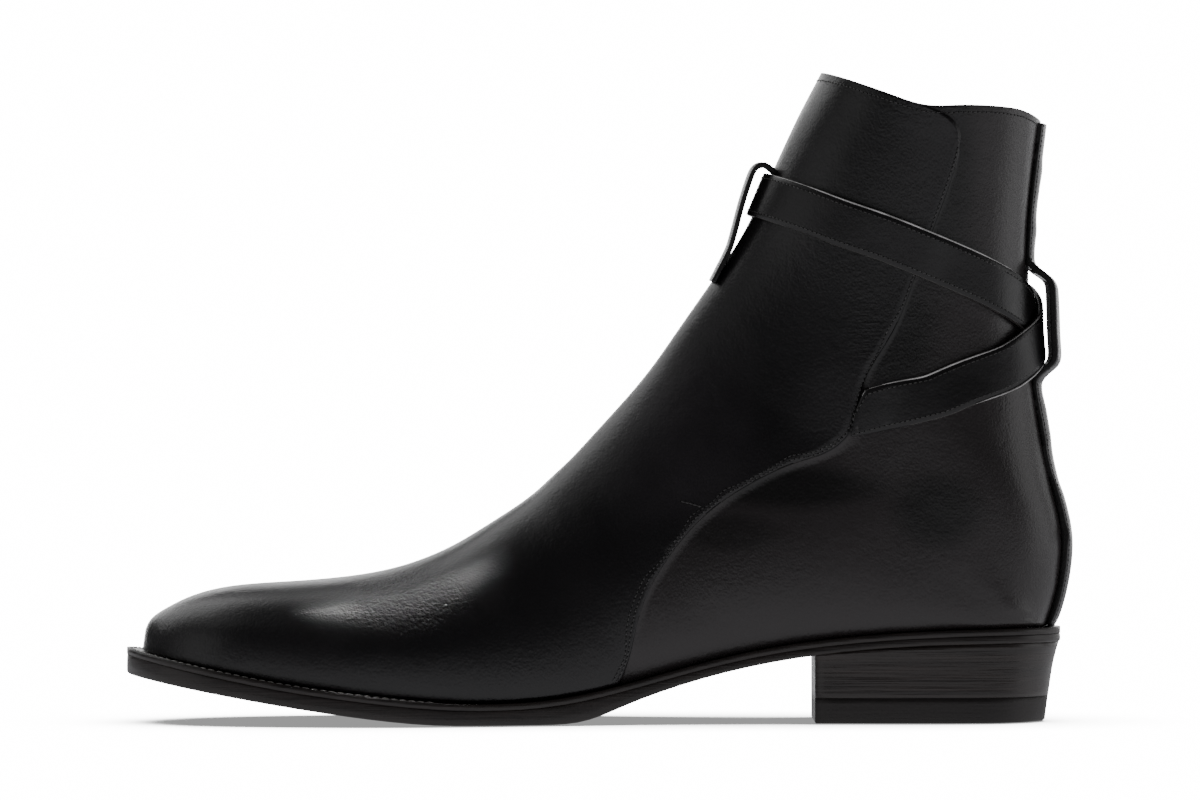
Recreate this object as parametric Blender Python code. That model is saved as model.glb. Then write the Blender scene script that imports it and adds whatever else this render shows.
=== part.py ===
"""Right ankle jodhpur boot of black polished leather, standing empty on its sole.

Metres, +X to the toe, +Y to the boot's inner (big-toe) side, +Z up.
The origin is the middle of the top lift's underside, on the floor.
Lengths along the boot are counted from the sole's back edge and moved onto the origin at the end.
"""
import math

import bpy
import bmesh
import numpy as np

for item in list(bpy.data.objects):
    bpy.data.objects.remove(item, do_unlink=True)

MM = 0.001

# Sizes of the last that everything else is worked out from
LAST_LENGTH = 300.4 * MM
BALL_WIDTH = 93.5 * MM
SHAFT_HEIGHT = 181.5 * MM
HEEL_RISE = 26.0 * MM
TOE_SPRING = 16.0 * MM

# Leather, clearances and how the pieces meet
WALL = 2.0 * MM
FLAP_STEP = 1.3 * MM
GAP = 0.3 * MM

# Sole and heel
TREAD_BACK = 157.0 * MM
TREAD_FRONT = 203.0 * MM
SHANK_BEND = 7.0 * MM
SHANK_CURVE = 3.0
TOE_CURVE = 1.32
WELT_REACH = 6.4 * MM
WELT_THICK = 2.1 * MM
WELT_INSET = 8.0 * MM
INSOLE_THICK = 2.5 * MM
BREAST = 81.4 * MM
LIFT_THICK = 8.0 * MM
HEEL_TAPER = 4.7 * MM
TAPER_CURVE = 0.85
SEAT_THICK = 3.5 * MM
EDGE_BEVEL = 0.5 * MM
STACK_LOW = HEEL_RISE * 0.54
STACK_HIGH = HEEL_RISE * 0.77
HEEL_MIDDLE = (BREAST + HEEL_TAPER) / 2

# Rounding of the last in plan at its two ends
TOE_ROUND = 30.0 * MM
TOE_FULLNESS = 2.2
SEAT_ROUND = 28.0 * MM
SEAT_BACK = 4.6 * MM

# Straps, loops and the back strip
STRAP_WIDTH = 15.0 * MM
STRAP_THICK = 1.9 * MM
SEATED = 0.5 * MM
SKIVE = 12.0 * MM
ROOT_SKEW = 4.4 * MM
CROSSING = 16.0 * MM
FLAP_EASE_START = 1.0 * MM
FLAP_EASE = 5.0 * MM
ROUND_REACH = BALL_WIDTH * 0.36
BACKSTAY_WIDTH = 20.0 * MM
BACKSTAY_THICK = 2.0 * MM
LOOP_STAND = 7.2 * MM
FRONT_LOOP_WIDTH = 16.0 * MM
FRONT_LOOP_THICK = 1.8 * MM

# Buckle on the outer side
TIP_LENGTH = 17.0 * MM
FRAME_LENGTH = 15.0 * MM
BAR_RADIUS = 1.2 * MM
PIN_RADIUS = 0.9 * MM
BUCKLE_STRAP_THICK = 2.0 * MM
BUCKLE_STRAP_STACK = 2.8 * MM
BAR_CLEAR = 0.7 * MM
KEEPER_AWAY = 9.0 * MM
KEEPER_WIDTH = 6.0 * MM
KEEPER_THICK = 1.3 * MM

# Sections of the last, toe tip first and collar last. Each is a plane from a point low or at the
# back (foot) to a point on top or in front (top). Lengths along are shares of LAST_LENGTH, heights
# are shares of SHAFT_HEIGHT above the feather line, widths are shares of BALL_WIDTH.
# foot_x, foot_up, top_x, top_up, inner, outer, ridge, widest, floor, over, under
COLUMNS = ("foot_x", "foot_up", "top_x", "top_up", "inner", "outer", "ridge", "widest", "floor",
           "over", "under")
SECTIONS = (
    (1.000, 0.000, 0.997, 0.037, 0.270, 0.270, 0.086, 0.30, 0.98, 2.3, 2.3),
    (0.996, 0.000, 0.990, 0.058, 0.276, 0.278, 0.086, 0.30, 0.98, 2.3, 2.3),
    (0.984, 0.000, 0.972, 0.081, 0.287, 0.294, 0.086, 0.30, 0.98, 2.3, 2.3),
    (0.960, 0.000, 0.944, 0.1125, 0.311, 0.329, 0.086, 0.30, 0.97, 2.3, 2.3),
    (0.924, 0.000, 0.904, 0.140, 0.345, 0.383, 0.086, 0.30, 0.97, 2.2, 2.3),
    (0.871, 0.000, 0.852, 0.164, 0.383, 0.446, 0.086, 0.30, 0.96, 2.2, 2.3),
    (0.804, 0.000, 0.792, 0.189, 0.418, 0.509, 0.086, 0.30, 0.96, 2.1, 2.3),
    (0.731, 0.000, 0.731, 0.220, 0.436, 0.550, 0.086, 0.31, 0.95, 2.0, 2.2),
    (0.654, 0.000, 0.674, 0.265, 0.418, 0.554, 0.080, 0.32, 0.93, 1.9, 2.2),
    (0.574, 0.000, 0.623, 0.314, 0.375, 0.524, 0.068, 0.33, 0.89, 1.8, 2.2),
    (0.488, 0.000, 0.574, 0.345, 0.335, 0.474, 0.052, 0.34, 0.84, 1.8, 2.2),
    (0.394, 0.000, 0.531, 0.364, 0.325, 0.430, 0.036, 0.34, 0.82, 1.8, 2.2),
    (0.295, 0.000, 0.496, 0.393, 0.330, 0.394, 0.022, 0.33, 0.84, 1.9, 2.2),
    (0.193, 0.000, 0.468, 0.426, 0.338, 0.363, 0.010, 0.31, 0.88, 1.9, 2.2),
    (0.102, 0.000, 0.446, 0.464, 0.341, 0.347, 0.003, 0.29, 0.90, 2.0, 2.2),
    (0.053, 0.000, 0.431, 0.498, 0.341, 0.343, 0.000, 0.28, 0.90, 2.0, 2.2),
    (0.0153, 0.000, 0.413, 0.542, 0.340, 0.340, 0.000, 0.28, 0.90, 2.0, 2.2),
    (-0.005, 0.146, 0.380, 0.619, 0.334, 0.334, 0.000, 0.34, 0.00, 2.0, 2.1),
    (0.015, 0.306, 0.344, 0.708, 0.320, 0.320, 0.000, 0.42, 0.00, 2.0, 2.1),
    (0.033, 0.510, 0.315, 0.812, 0.322, 0.322, 0.000, 0.47, 0.00, 2.1, 2.1),
    (0.034, 0.719, 0.286, 0.916, 0.342, 0.342, 0.000, 0.49, 0.00, 2.1, 2.1),
    (0.022, 0.912, 0.258, 1.003, 0.360, 0.360, 0.000, 0.50, 0.00, 2.1, 2.1),
    (0.019, 0.972, 0.248, 1.039, 0.365, 0.365, 0.000, 0.50, 0.00, 2.1, 2.1),
)
SEAT = 16.0

# How far the sole stands out past the feather line: section, share of WELT_REACH
EDGE = ((0.0, 1.00), (3.0, 0.98), (6.0, 0.86), (8.0, 0.76), (10.0, 0.55), (12.0, 0.42),
        (14.5, 0.36), (15.4, 0.50), (16.0, 0.72))


def curve(points, at):
    """A smooth value between the rows of a table of (place, value) pairs."""
    places = [point[0] for point in points]
    at = min(max(at, places[0]), places[-1])
    i = min(max(int(np.searchsorted(places, at, side="right")) - 1, 0), len(points) - 2)

    def slope(k):
        if k == 0 or k == len(points) - 1:
            j = min(k, len(points) - 2)
            return (points[j + 1][1] - points[j][1]) / (places[j + 1] - places[j])
        return (points[k + 1][1] - points[k - 1][1]) / (places[k + 1] - places[k - 1])

    step = places[i + 1] - places[i]
    u = (at - places[i]) / step
    start = (1 + 2 * u) * (1 - u) ** 2 * points[i][1] + u * (1 - u) ** 2 * step * slope(i)
    end = u * u * (3 - 2 * u) * points[i + 1][1] - u * u * (1 - u) * step * slope(i + 1)
    return start + end


TABLES = {name: tuple((float(i), row[k]) for i, row in enumerate(SECTIONS))
          for k, name in enumerate(COLUMNS)}


def sole_bottom(x):
    if x < TREAD_BACK - SHANK_BEND:
        return HEEL_RISE * (1 - (max(x, 0.0) / TREAD_BACK) ** SHANK_CURVE)
    if x < TREAD_BACK + SHANK_BEND:
        slope = HEEL_RISE * SHANK_CURVE / TREAD_BACK * (1 - SHANK_BEND / TREAD_BACK) ** (SHANK_CURVE - 1)
        return slope * (TREAD_BACK + SHANK_BEND - x) ** 2 / (4 * SHANK_BEND)
    if x > TREAD_FRONT:
        front = (x - TREAD_FRONT) / (LAST_LENGTH + WELT_REACH - TREAD_FRONT)
        return TOE_SPRING * front ** TOE_CURVE
    return 0.0


# Feather line, where the upper meets the welt: share of LAST_LENGTH along, share of HEEL_RISE up
FEATHER = ((0.00, 1.200), (0.10, 1.187), (0.19, 1.140), (0.27, 1.052), (0.33, 0.945), (0.40, 0.758),
           (0.46, 0.562), (0.52, 0.392), (0.57, 0.305), (0.62, 0.272), (0.69, 0.305), (0.76, 0.392),
           (0.85, 0.535), (0.95, 0.765), (1.02, 0.945))


def feather(x):
    return HEEL_RISE * curve(FEATHER, x / LAST_LENGTH)


def welt_top(x):
    return feather(x) - GAP


def outsole_top(x):
    return welt_top(x) - WELT_THICK - GAP


known = {}


def section(t):
    """All the values of one section of the last, in metres."""
    key = round(t, 6)
    if key in known:
        return known[key]
    row = {name: curve(TABLES[name], t) for name in COLUMNS}
    foot_x = row["foot_x"] * LAST_LENGTH
    back = max(0.0, min(1.0, (LAST_LENGTH - foot_x) / TOE_ROUND)) if t < 8 else 1.0
    toe = (1 - (1 - back) ** TOE_FULLNESS) ** (1 / TOE_FULLNESS)
    floor = 0.0
    if t < SEAT:
        front = max(0.0, min(1.0, (foot_x - SEAT_BACK) / SEAT_ROUND))
        floor = row["floor"] if t <= 15 else SECTIONS[15][8]
        floor *= math.sqrt(1 - (1 - front) ** 2)
    base = feather(foot_x)
    rise = max(0.0, row["foot_up"]) if t > SEAT else 0.0
    known[key] = {
        "foot": (foot_x, base + rise * SHAFT_HEIGHT),
        "top": (row["top_x"] * LAST_LENGTH, base + row["top_up"] * SHAFT_HEIGHT),
        "inner": row["inner"] * BALL_WIDTH * toe,
        "outer": row["outer"] * BALL_WIDTH * toe,
        "ridge": row["ridge"] * BALL_WIDTH,
        "widest": row["widest"],
        "floor": floor,
        "over": row["over"],
        "under": row["under"],
    }
    return known[key]


def place(t, turn):
    """A point of the last. Turn is 0 on the ridge, +pi underneath by the inner side, -pi by the
    outer side; behind the seat both ends meet on the back line."""
    if turn > math.pi:
        turn = turn - 2 * math.pi if t >= SEAT else math.pi
    if turn < -math.pi:
        turn = turn + 2 * math.pi if t >= SEAT else -math.pi
    row = section(t)
    angle = math.pi / 2 - abs(turn)
    width = row["inner"] if turn >= 0 else -row["outer"]
    if angle >= 0:
        up = row["widest"] + (1 - row["widest"]) * math.sin(angle) ** (2 / row["over"])
        out = math.cos(angle) ** (2 / row["over"])
    else:
        up = row["widest"] * (1 - abs(math.sin(angle)) ** (2 / row["under"]))
        out = row["floor"] + (1 - row["floor"]) * abs(math.cos(angle)) ** (2 / row["under"])
    x = row["foot"][0] + up * (row["top"][0] - row["foot"][0])
    z = row["foot"][1] + up * (row["top"][1] - row["foot"][1])
    return np.array((x, row["ridge"] + width * out, z))


def turn_at(t, up):
    """The turn, on the inner side, that stands at this share of the section's height."""
    row = section(t)
    if up >= row["widest"]:
        share = min(1.0, (up - row["widest"]) / (1 - row["widest"]))
        return math.pi / 2 - math.asin(share ** (row["over"] / 2))
    share = min(1.0, 1 - up / row["widest"])
    return math.pi / 2 + math.asin(share ** (row["under"] / 2))


def outward(t, turn):
    """The direction square to the last, pointing out of it."""
    if t < 0.001:
        row = section(0.0)
        lean = np.array((row["top"][0] - row["foot"][0], 0.0, row["top"][1] - row["foot"][1]))
        side = np.array((lean[2], 0.0, -lean[0]))
        return side / np.linalg.norm(side)
    step = min(0.03, t / 2)
    last = len(SECTIONS) - 1
    along = place(min(t + step, last), turn) - place(t - step, turn)
    reach = 0.03
    first, second = turn - reach, turn + reach
    if t < SEAT:
        first, second = max(first, -math.pi), min(second, math.pi)
    around = place(t, second) - place(t, first)
    side = np.cross(along, around)
    side = side / max(np.linalg.norm(side), 1e-12)
    row = section(t)
    middle = np.array(((row["foot"][0] + row["top"][0]) / 2, row["ridge"],
                       (row["foot"][1] + row["top"][1]) / 2))
    if np.dot(side, place(t, turn) - middle) < 0:
        side = -side
    if abs(turn) < 1e-9 or (t >= SEAT and abs(abs(turn) - math.pi) < 1e-9):
        side = np.array((side[0], 0.0, side[2]))
        side = side / np.linalg.norm(side)
    return side


def skin(t, turn, lift):
    return place(t, turn) + outward(t, turn) * lift


def leather(name, colour, rough):
    material = bpy.data.materials.new(name)
    material.use_nodes = True
    shader = material.node_tree.nodes["Principled BSDF"]
    shader.inputs["Base Color"].default_value = (*colour, 1.0)
    shader.inputs["Roughness"].default_value = rough
    return material


def solid(name, points, faces, material, smooth=True):
    """One closed piece from its points and faces, moved so the heel's middle is the origin."""
    mesh = bpy.data.meshes.new(name)
    middle = HEEL_MIDDLE
    mesh.from_pydata([(p[0] - middle, p[1], p[2]) for p in points], [], faces)
    work = bmesh.new()
    work.from_mesh(mesh)
    bmesh.ops.recalc_face_normals(work, faces=work.faces)
    if work.calc_volume(signed=True) < 0:
        bmesh.ops.reverse_faces(work, faces=work.faces)
    bmesh.ops.triangulate(work, faces=work.faces)
    work.to_mesh(mesh)
    work.free()
    mesh.polygons.foreach_set("use_smooth", [smooth] * len(mesh.polygons))
    mesh.materials.append(material)
    piece = bpy.data.objects.new(name, mesh)
    bpy.context.scene.collection.objects.link(piece)
    piece.data.update()
    return piece


# Front piece (vamp and flap) over the quarter: its rear edge, as section and share of its height
FLAP = ((10.05, 0.00), (10.32, 0.13), (10.56, 0.26), (10.80, 0.35), (11.12, 0.42), (11.80, 0.52),
        (12.60, 0.58), (13.60, 0.61), (15.00, 0.61), (16.30, 0.57), (17.20, 0.56), (18.06, 0.52),
        (18.90, 0.46), (19.60, 0.40), (20.10, 0.36), (20.42, 0.36), (20.58, 0.40), (20.70, 0.47),
        (20.77, 0.55))
# Collar rim: share of the section's height from the back line, section
RIM = ((0.00, 21.00), (0.05, 21.05), (0.13, 21.08), (0.35, 20.94), (0.55, 20.77), (0.74, 20.82),
       (0.88, 20.88), (1.00, 20.92))
FLAP_START = FLAP[0][0]
FLAP_END = FLAP[-1][0]
# Least height of any other place on the upper above its edge at the feather line
FIRST_STEP = 0.15 * MM
TOE_ROWS = (0.0, 0.03, 0.10, 0.22, 0.40, 0.65, 1.0, 1.5, 2.0, 2.6, 3.3, 4.0, 4.7, 5.4, 6.1, 6.8,
            7.5, 8.2, 8.8, 9.2, 9.5, 9.78)
FLAP_ROWS = (FLAP_START, 10.32, 10.62, 11.0, 11.5, 12.1, 12.8, 13.6, 14.6, 15.6, 16.4, 17.1, 17.8,
             18.4, 18.95, 19.45, 19.9, 20.2, 20.42, 20.56, 20.66, 20.73, FLAP_END)
FRONT_COLUMNS = 18
HEEL_COLUMNS = (FLAP_START, 10.5, 11.0, 11.5, 12.0, 12.5, 13.0, 13.6, 14.2, 14.8, 15.3, 15.65, 15.85,
                15.95, SEAT)


def rim_section(up):
    return curve(RIM, up)


def up_of(t, turn):
    row = section(t)
    angle = math.pi / 2 - abs(turn)
    if angle >= 0:
        return row["widest"] + (1 - row["widest"]) * math.sin(angle) ** (2 / row["over"])
    return row["widest"] * (1 - abs(math.sin(angle)) ** (2 / row["under"]))


def ease(value):
    value = min(1.0, max(0.0, value))
    return value * value * (3 - 2 * value)


def front_spot(t, across):
    """Section and turn of a place on the front piece; across runs +1 inner edge to -1 outer."""
    edge = math.pi if t <= FLAP_START else turn_at(t, curve(FLAP, t))
    turn = across * edge
    pull = ease((t - 18.5) / (FLAP_END - 18.5))
    return t + (rim_section(up_of(FLAP_END, turn)) - FLAP_END) * pull, turn


def quarter_spots():
    """Section and turn of every place on the quarter's inner half, row by row from the sole."""
    edge = [(t, math.pi if t <= FLAP_START else turn_at(t, curve(FLAP, t))) for t in FLAP_ROWS]
    steps = [0.0]
    for first, second in zip(edge, edge[1:]):
        steps.append(steps[-1] + np.linalg.norm(place(*second) - place(*first)))
    shares = [step / steps[-1] for step in steps]
    last = len(HEEL_COLUMNS) - 1
    top_turn = edge[-1][1]
    back_top = rim_section(0.0)
    rows = []
    for v, left in zip(shares, edge):
        row = []
        for c, foot in enumerate(HEEL_COLUMNS):
            s = c / last
            turn_top = top_turn + (math.pi - top_turn) * s
            head = (rim_section(up_of(FLAP_END, turn_top)), turn_top)
            right = (SEAT + (back_top - SEAT) * v, math.pi)
            corner = ((1 - s) * (1 - v) * FLAP_START + s * (1 - v) * SEAT
                      + (1 - s) * v * FLAP_END + s * v * back_top,
                      (1 - v) * math.pi + (1 - s) * v * top_turn + s * v * math.pi)
            spot = [(1 - s) * left[k] + s * right[k] + (1 - v) * (foot, math.pi)[k]
                    + v * head[k] - corner[k] for k in (0, 1)]
            row.append((spot[0], min(spot[1], math.pi)))
        rows.append(row)
    return rows


def build_upper():
    points = []
    faces = []

    def add(t, turn, lift, low):
        point = skin(t, turn, lift)
        edge = feather(point[0])
        point[2] = edge if low else max(point[2], edge + FIRST_STEP)
        points.append(point)
        return len(points) - 1

    rows = list(TOE_ROWS) + list(FLAP_ROWS)
    first = len(TOE_ROWS)
    half = FRONT_COLUMNS // 2
    out, inside = [], []
    for t in rows:
        out_row, in_row = [], []
        for k in range(FRONT_COLUMNS + 1):
            if t == 0.0 and k > half:
                out_row.append(out_row[FRONT_COLUMNS - k])
                in_row.append(in_row[FRONT_COLUMNS - k])
                continue
            spot = front_spot(t, 1 - k / half)
            low = t <= FLAP_START and k in (0, FRONT_COLUMNS)
            out_row.append(add(*spot, FLAP_STEP, low))
            in_row.append(add(*spot, -WALL, low))
        out.append(out_row)
        inside.append(in_row)
    last = len(HEEL_COLUMNS) - 1
    under, lining = [], []
    for j, row in enumerate(quarter_spots()):
        whole = [(t, turn) for t, turn in row] + [(t, -turn) for t, turn in row[-2::-1]]
        under_row, lining_row = [], []
        for c, (t, turn) in enumerate(whole):
            under_row.append(add(t, turn, 0.0, j == 0))
            if c == 0:
                lining_row.append(inside[first + j][0])
            elif c == 2 * last:
                lining_row.append(inside[first + j][FRONT_COLUMNS])
            else:
                lining_row.append(add(t, turn, -WALL, j == 0))
        under.append(under_row)
        lining.append(lining_row)

    def sheet(grid):
        for one, two in zip(grid, grid[1:]):
            for k in range(len(one) - 1):
                if len(set(one)) == len(one):
                    faces.append((one[k], one[k + 1], two[k + 1], two[k]))
                elif k < half:
                    faces.extend(((one[k], one[k + 1], two[k]), (one[k + 1], two[k + 1], two[k])))
                else:
                    faces.extend(((one[k], one[k + 1], two[k + 1]), (one[k], two[k + 1], two[k])))

    def strip(one, two):
        for k in range(len(one) - 1):
            faces.append((one[k], one[k + 1], two[k + 1], two[k]))

    for grid in (out, inside, under, lining):
        sheet(grid)
    for front, quarter in ((0, 0), (FRONT_COLUMNS, 2 * last)):
        strip([row[front] for row in out[first:]], [row[quarter] for row in under])
        strip([row[front] for row in out[:first + 1]], [row[front] for row in inside[:first + 1]])
        faces.append((out[first][front], under[0][quarter], inside[first][front]))
        faces.append((out[-1][front], under[-1][quarter], inside[-1][front]))
    strip(under[0], lining[0])
    strip(under[-1], lining[-1])
    strip(out[-1], inside[-1])
    return points, [tuple(dict.fromkeys(face)) for face in faces]


EDGE_STATIONS = (0.0, 0.03, 0.10, 0.22, 0.40, 0.65, 1.0, 1.5, 2.1, 3.0, 4.0, 5.0, 5.7, 6.4, 7.0,
                 7.6, 8.2, 8.8, 9.2, 9.5, 9.8, 10.1, 10.5, 11.0, 11.5, 12.0, 12.5, 13.0, 13.5, 14.0, 14.8,
                 15.3, 15.65, 15.85, 15.95, SEAT)


def rim_point(t, side, reach):
    """A point in plan standing a given way out from the feather line (back in when negative)."""
    here = place(t, side * math.pi)
    if t <= 0.0:
        return here[0] + reach, here[1]
    if t >= SEAT:
        return here[0] - reach, here[1]
    step = min(0.03, t / 2, (SEAT - t) / 2)
    way = place(t + step, side * math.pi) - place(t - step, side * math.pi)
    size = math.hypot(way[0], way[1])
    return here[0] + side * way[1] / size * reach, here[1] - side * way[0] / size * reach


def outline(reach, stations=EDGE_STATIONS):
    """The closed plan line of the sole; reach is worked out from the section and the side."""
    inner = [rim_point(t, 1, reach(t)) for t in stations]
    outer = [rim_point(t, -1, reach(t)) for t in stations[1:-1]]
    return inner + outer[::-1]


def loop_faces(one, two, count):
    return [(one + k, one + (k + 1) % count, two + (k + 1) % count, two + k) for k in range(count)]


def cap_faces(start, count):
    """A flat-across lid joining each inner point of a loop to the outer point facing it."""
    half = count // 2
    faces = [(start, start + 1, start + count - 1)]
    for k in range(1, half - 1):
        faces.append((start + k, start + k + 1, start + count - k - 1, start + count - k))
    faces.append((start + half - 1, start + half, start + half + 1))
    return faces


def plate(name, rings, material):
    """A piece of the sole from closed loops (plan line, height at x), lowest first."""
    points, faces, starts = [], [], []
    for line, height in rings:
        starts.append(len(points))
        points += [(x, y, height(x)) for x, y in line]
    count = len(rings[0][0])
    for one, two in zip(starts, starts[1:]):
        faces += loop_faces(one, two, count)
    faces += cap_faces(starts[0], count) + cap_faces(starts[-1], count)
    return solid(name, points, faces, material)


def sole_reach(extra):
    return lambda t: curve(EDGE, t) * WELT_REACH + extra


CALF = leather("black polished calf", (0.012, 0.010, 0.012), 0.28)
CALF_STRAP = leather("black strap calf", (0.010, 0.009, 0.010), 0.32)
SOLE = leather("black sole leather", (0.014, 0.010, 0.009), 0.42)
STACK = leather("dark stacked leather", (0.020, 0.013, 0.010), 0.45)
RUBBER = leather("black rubber", (0.015, 0.015, 0.015), 0.7)
TAN = leather("natural insole leather", (0.42, 0.27, 0.16), 0.7)
STEEL = leather("brushed nickel plate", (0.55, 0.55, 0.53), 0.3)
STEEL.node_tree.nodes["Principled BSDF"].inputs["Metallic"].default_value = 1.0

# Upper: vamp with its flap over the quarter, one hollow piece open at the collar and underneath
solid("upper", *build_upper(), CALF)

# Outsole, with its edge slightly rounded and its underside bevelled
plate("outsole", (
    (outline(sole_reach(-EDGE_BEVEL)), sole_bottom),
    (outline(sole_reach(0.0)), lambda x: sole_bottom(x) + EDGE_BEVEL),
    (outline(sole_reach(0.0)), lambda x: outsole_top(x) - EDGE_BEVEL),
    (outline(sole_reach(-EDGE_BEVEL / 2)), outsole_top),
), SOLE)


def build_welt():
    """A flat ring round the whole sole, reaching in under the upper's wall."""
    outer = outline(sole_reach(0.0))
    inner = outline(lambda t: -WELT_INSET)
    loops = ((outer, lambda x: outsole_top(x) + GAP), (outer, lambda x: welt_top(x)),
             (inner, lambda x: welt_top(x)), (inner, lambda x: outsole_top(x) + GAP))
    points, faces = [], []
    for line, height in loops:
        points += [(x, y, height(x)) for x, y in line]
    count = len(outer)
    for k in range(4):
        faces += loop_faces(k * count, (k + 1) % 4 * count, count)
    return points, faces


solid("welt", *build_welt(), SOLE)

# Insole: lies inside the upper on the welt's inner edge, its filling reaching down to the outsole
inside_line = outline(lambda t: -(WALL + GAP))
filling_line = outline(lambda t: -(WELT_INSET + GAP))
plate("insole", (
    (filling_line, lambda x: outsole_top(x) + 2 * GAP),
    (filling_line, lambda x: feather(x)),
    (inside_line, lambda x: feather(x)),
    (outline(lambda t: -(WALL + 3 * GAP)), lambda x: feather(x) + INSOLE_THICK),
), TAN)


# Sections the heel's sides pass through, the part of the taper its breast end has, and the
# sections over which the rest of it grows
HEEL_STATIONS = (13.0, 14.0, 14.8, 15.3, 15.65, 15.85, 15.95)
BREAST_TAPER = 0.5
TAPER_GROWS = (14.5, 15.8)


def heel_start(side, reach):
    """The section where the plan line meets the heel's breast on one side."""
    low, high = 10.0, TAPER_GROWS[0]
    for _ in range(40):
        middle = (low + high) / 2
        if rim_point(middle, side, reach(middle))[0] > BREAST:
            low = middle
        else:
            high = middle
    return (low + high) / 2


def heel_line(taper):
    """The heel's closed plan line: the sole's own, drawn in all round by a share of the taper."""
    def reach(t):
        back = ease((t - TAPER_GROWS[0]) / (TAPER_GROWS[1] - TAPER_GROWS[0]))
        drawn_in = BREAST_TAPER + (1 - BREAST_TAPER) * back
        return curve(EDGE, t) * WELT_REACH - EDGE_BEVEL - HEEL_TAPER * taper * drawn_in

    line = []
    for side in (1, -1):
        start = heel_start(side, reach)
        places = [start] + [t for t in HEEL_STATIONS if t > start + 0.1]
        half = [rim_point(t, side, reach(t)) for t in places]
        half[0] = (BREAST, half[0][1])
        line += half if side > 0 else [rim_point(SEAT, 1, reach(SEAT))] + half[::-1]
    return line


def taper_at(z):
    seat = HEEL_RISE + SEAT_THICK
    return ((seat - z) / seat) ** TAPER_CURVE


def heel_piece(name, levels, material):
    """A part of the heel from levels (taper, height at x), lowest first."""
    points, faces, starts = [], [], []
    for taper, height in levels:
        starts.append(len(points))
        points += [(x, y, height(x)) for x, y in heel_line(taper)]
    count = len(heel_line(0.0))
    for one, two in zip(starts, starts[1:]):
        faces += loop_faces(one, two, count)
    half = count // 2
    for start in (starts[0], starts[-1]):
        for k in range(half - 1):
            faces.append((start + k, start + k + 1, start + count - k - 2, start + count - k - 1))
        faces.append((start + half - 1, start + half, start + half + 1))
    return solid(name, points, faces, material)


heel_piece("heel_stack", (
    (taper_at(LIFT_THICK + GAP), lambda x: LIFT_THICK + GAP),
    (taper_at(STACK_LOW), lambda x: STACK_LOW),
    (taper_at(STACK_HIGH), lambda x: STACK_HIGH),
    (0.0, lambda x: sole_bottom(x) - GAP),
), STACK)

heel_piece("top_lift", (
    (taper_at(0.0) + 0.1, lambda x: 0.0),
    (taper_at(EDGE_BEVEL), lambda x: EDGE_BEVEL),
    (taper_at(LIFT_THICK), lambda x: LIFT_THICK),
), RUBBER)


def seat_lift(t, turn):
    """How far the front piece stands above the quarter under a place, eased in at its edge."""
    if t <= FLAP_START or t >= FLAP_END:
        return FLAP_STEP if t <= FLAP_START else 0.0
    behind = (abs(turn) - turn_at(t, curve(FLAP, t))) * ROUND_REACH
    return FLAP_STEP * (1 - ease((behind - FLAP_EASE_START) / FLAP_EASE))


def one_round(turn):
    """A winding's turn counts on past the back and the ridge; this brings it into one round."""
    return (turn + math.pi) % (2 * math.pi) - math.pi


def across_step(spot, ahead, behind):
    """Change of (section, turn) that moves one metre sideways on the last, square to the way."""
    t, turn = spot
    turn = one_round(turn)
    way = place(ahead[0], one_round(ahead[1])) - place(behind[0], one_round(behind[1]))
    side = np.cross(outward(t, turn), way)
    side = side / np.linalg.norm(side)
    by_t = (place(t + 0.05, turn) - place(t - 0.05, turn)) / 0.1
    by_turn = (place(t, one_round(turn + 0.05)) - place(t, one_round(turn - 0.05))) / 0.1
    grid = np.stack((by_t, by_turn), axis=1)
    return np.linalg.lstsq(grid, side, rcond=None)[0]


class Route:
    """A smooth line on the last through a table of (section, winding turn) spots."""

    def __init__(self, spots):
        steps = [0.0]
        for one, two in zip(spots, spots[1:]):
            gap = place(two[0], one_round(two[1])) - place(one[0], one_round(one[1]))
            steps.append(steps[-1] + float(np.linalg.norm(gap)))
        self.sections = tuple(zip(steps, [spot[0] for spot in spots]))
        self.turns = tuple(zip(steps, [spot[1] for spot in spots]))
        self.length = steps[-1]

    def spot(self, s):
        return curve(self.sections, s), curve(self.turns, s)

    def point(self, s, across, lift, ride=True):
        """A place beside the line and above the upper there."""
        near = min(max(s, 0.001), self.length - 0.001)
        here = self.spot(near)
        step = across_step(here, self.spot(near + 0.001), self.spot(near - 0.001))
        t, turn = here[0] + step[0] * across, one_round(here[1] + step[1] * across)
        return skin(t, turn, lift + (seat_lift(t, turn) if ride else 0.0))


def box_faces(rows, columns):
    """Faces of a closed slab: two grids of points (low then high), its sides and its ends."""
    faces = []
    for k in range(rows - 1):
        for c in range(columns - 1):
            a = k * columns + c
            for base in (0, rows * columns):
                faces.append((base + a, base + a + 1, base + a + columns + 1, base + a + columns))
    high = rows * columns
    for k in range(rows - 1):
        for c in (0, columns - 1):
            a = k * columns + c
            faces.append((a, a + columns, high + a + columns, high + a))
    for k in (0, rows - 1):
        for c in range(columns - 1):
            a = k * columns + c
            faces.append((a, a + 1, high + a + 1, high + a))
    return faces


def ribbon(name, route, stations, width, lift, thick, skew, material):
    """A strap lying along a route; lift and thickness are worked out from the distance along."""
    low, high = [], []
    for s in stations:
        for across in (-0.5, 0.0, 0.5):
            at = s + skew(s) * across * 2
            low.append(route.point(at, across * width, lift(at)))
            high.append(route.point(at, across * width, lift(at) + thick(at)))
    return solid(name, low + high, box_faces(len(stations), 3), material)


# Section a standing strip's length is counted from, and the step it is counted in
STRIP_FROM = 15.9
STRIP_MARK = 0.05


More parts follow.
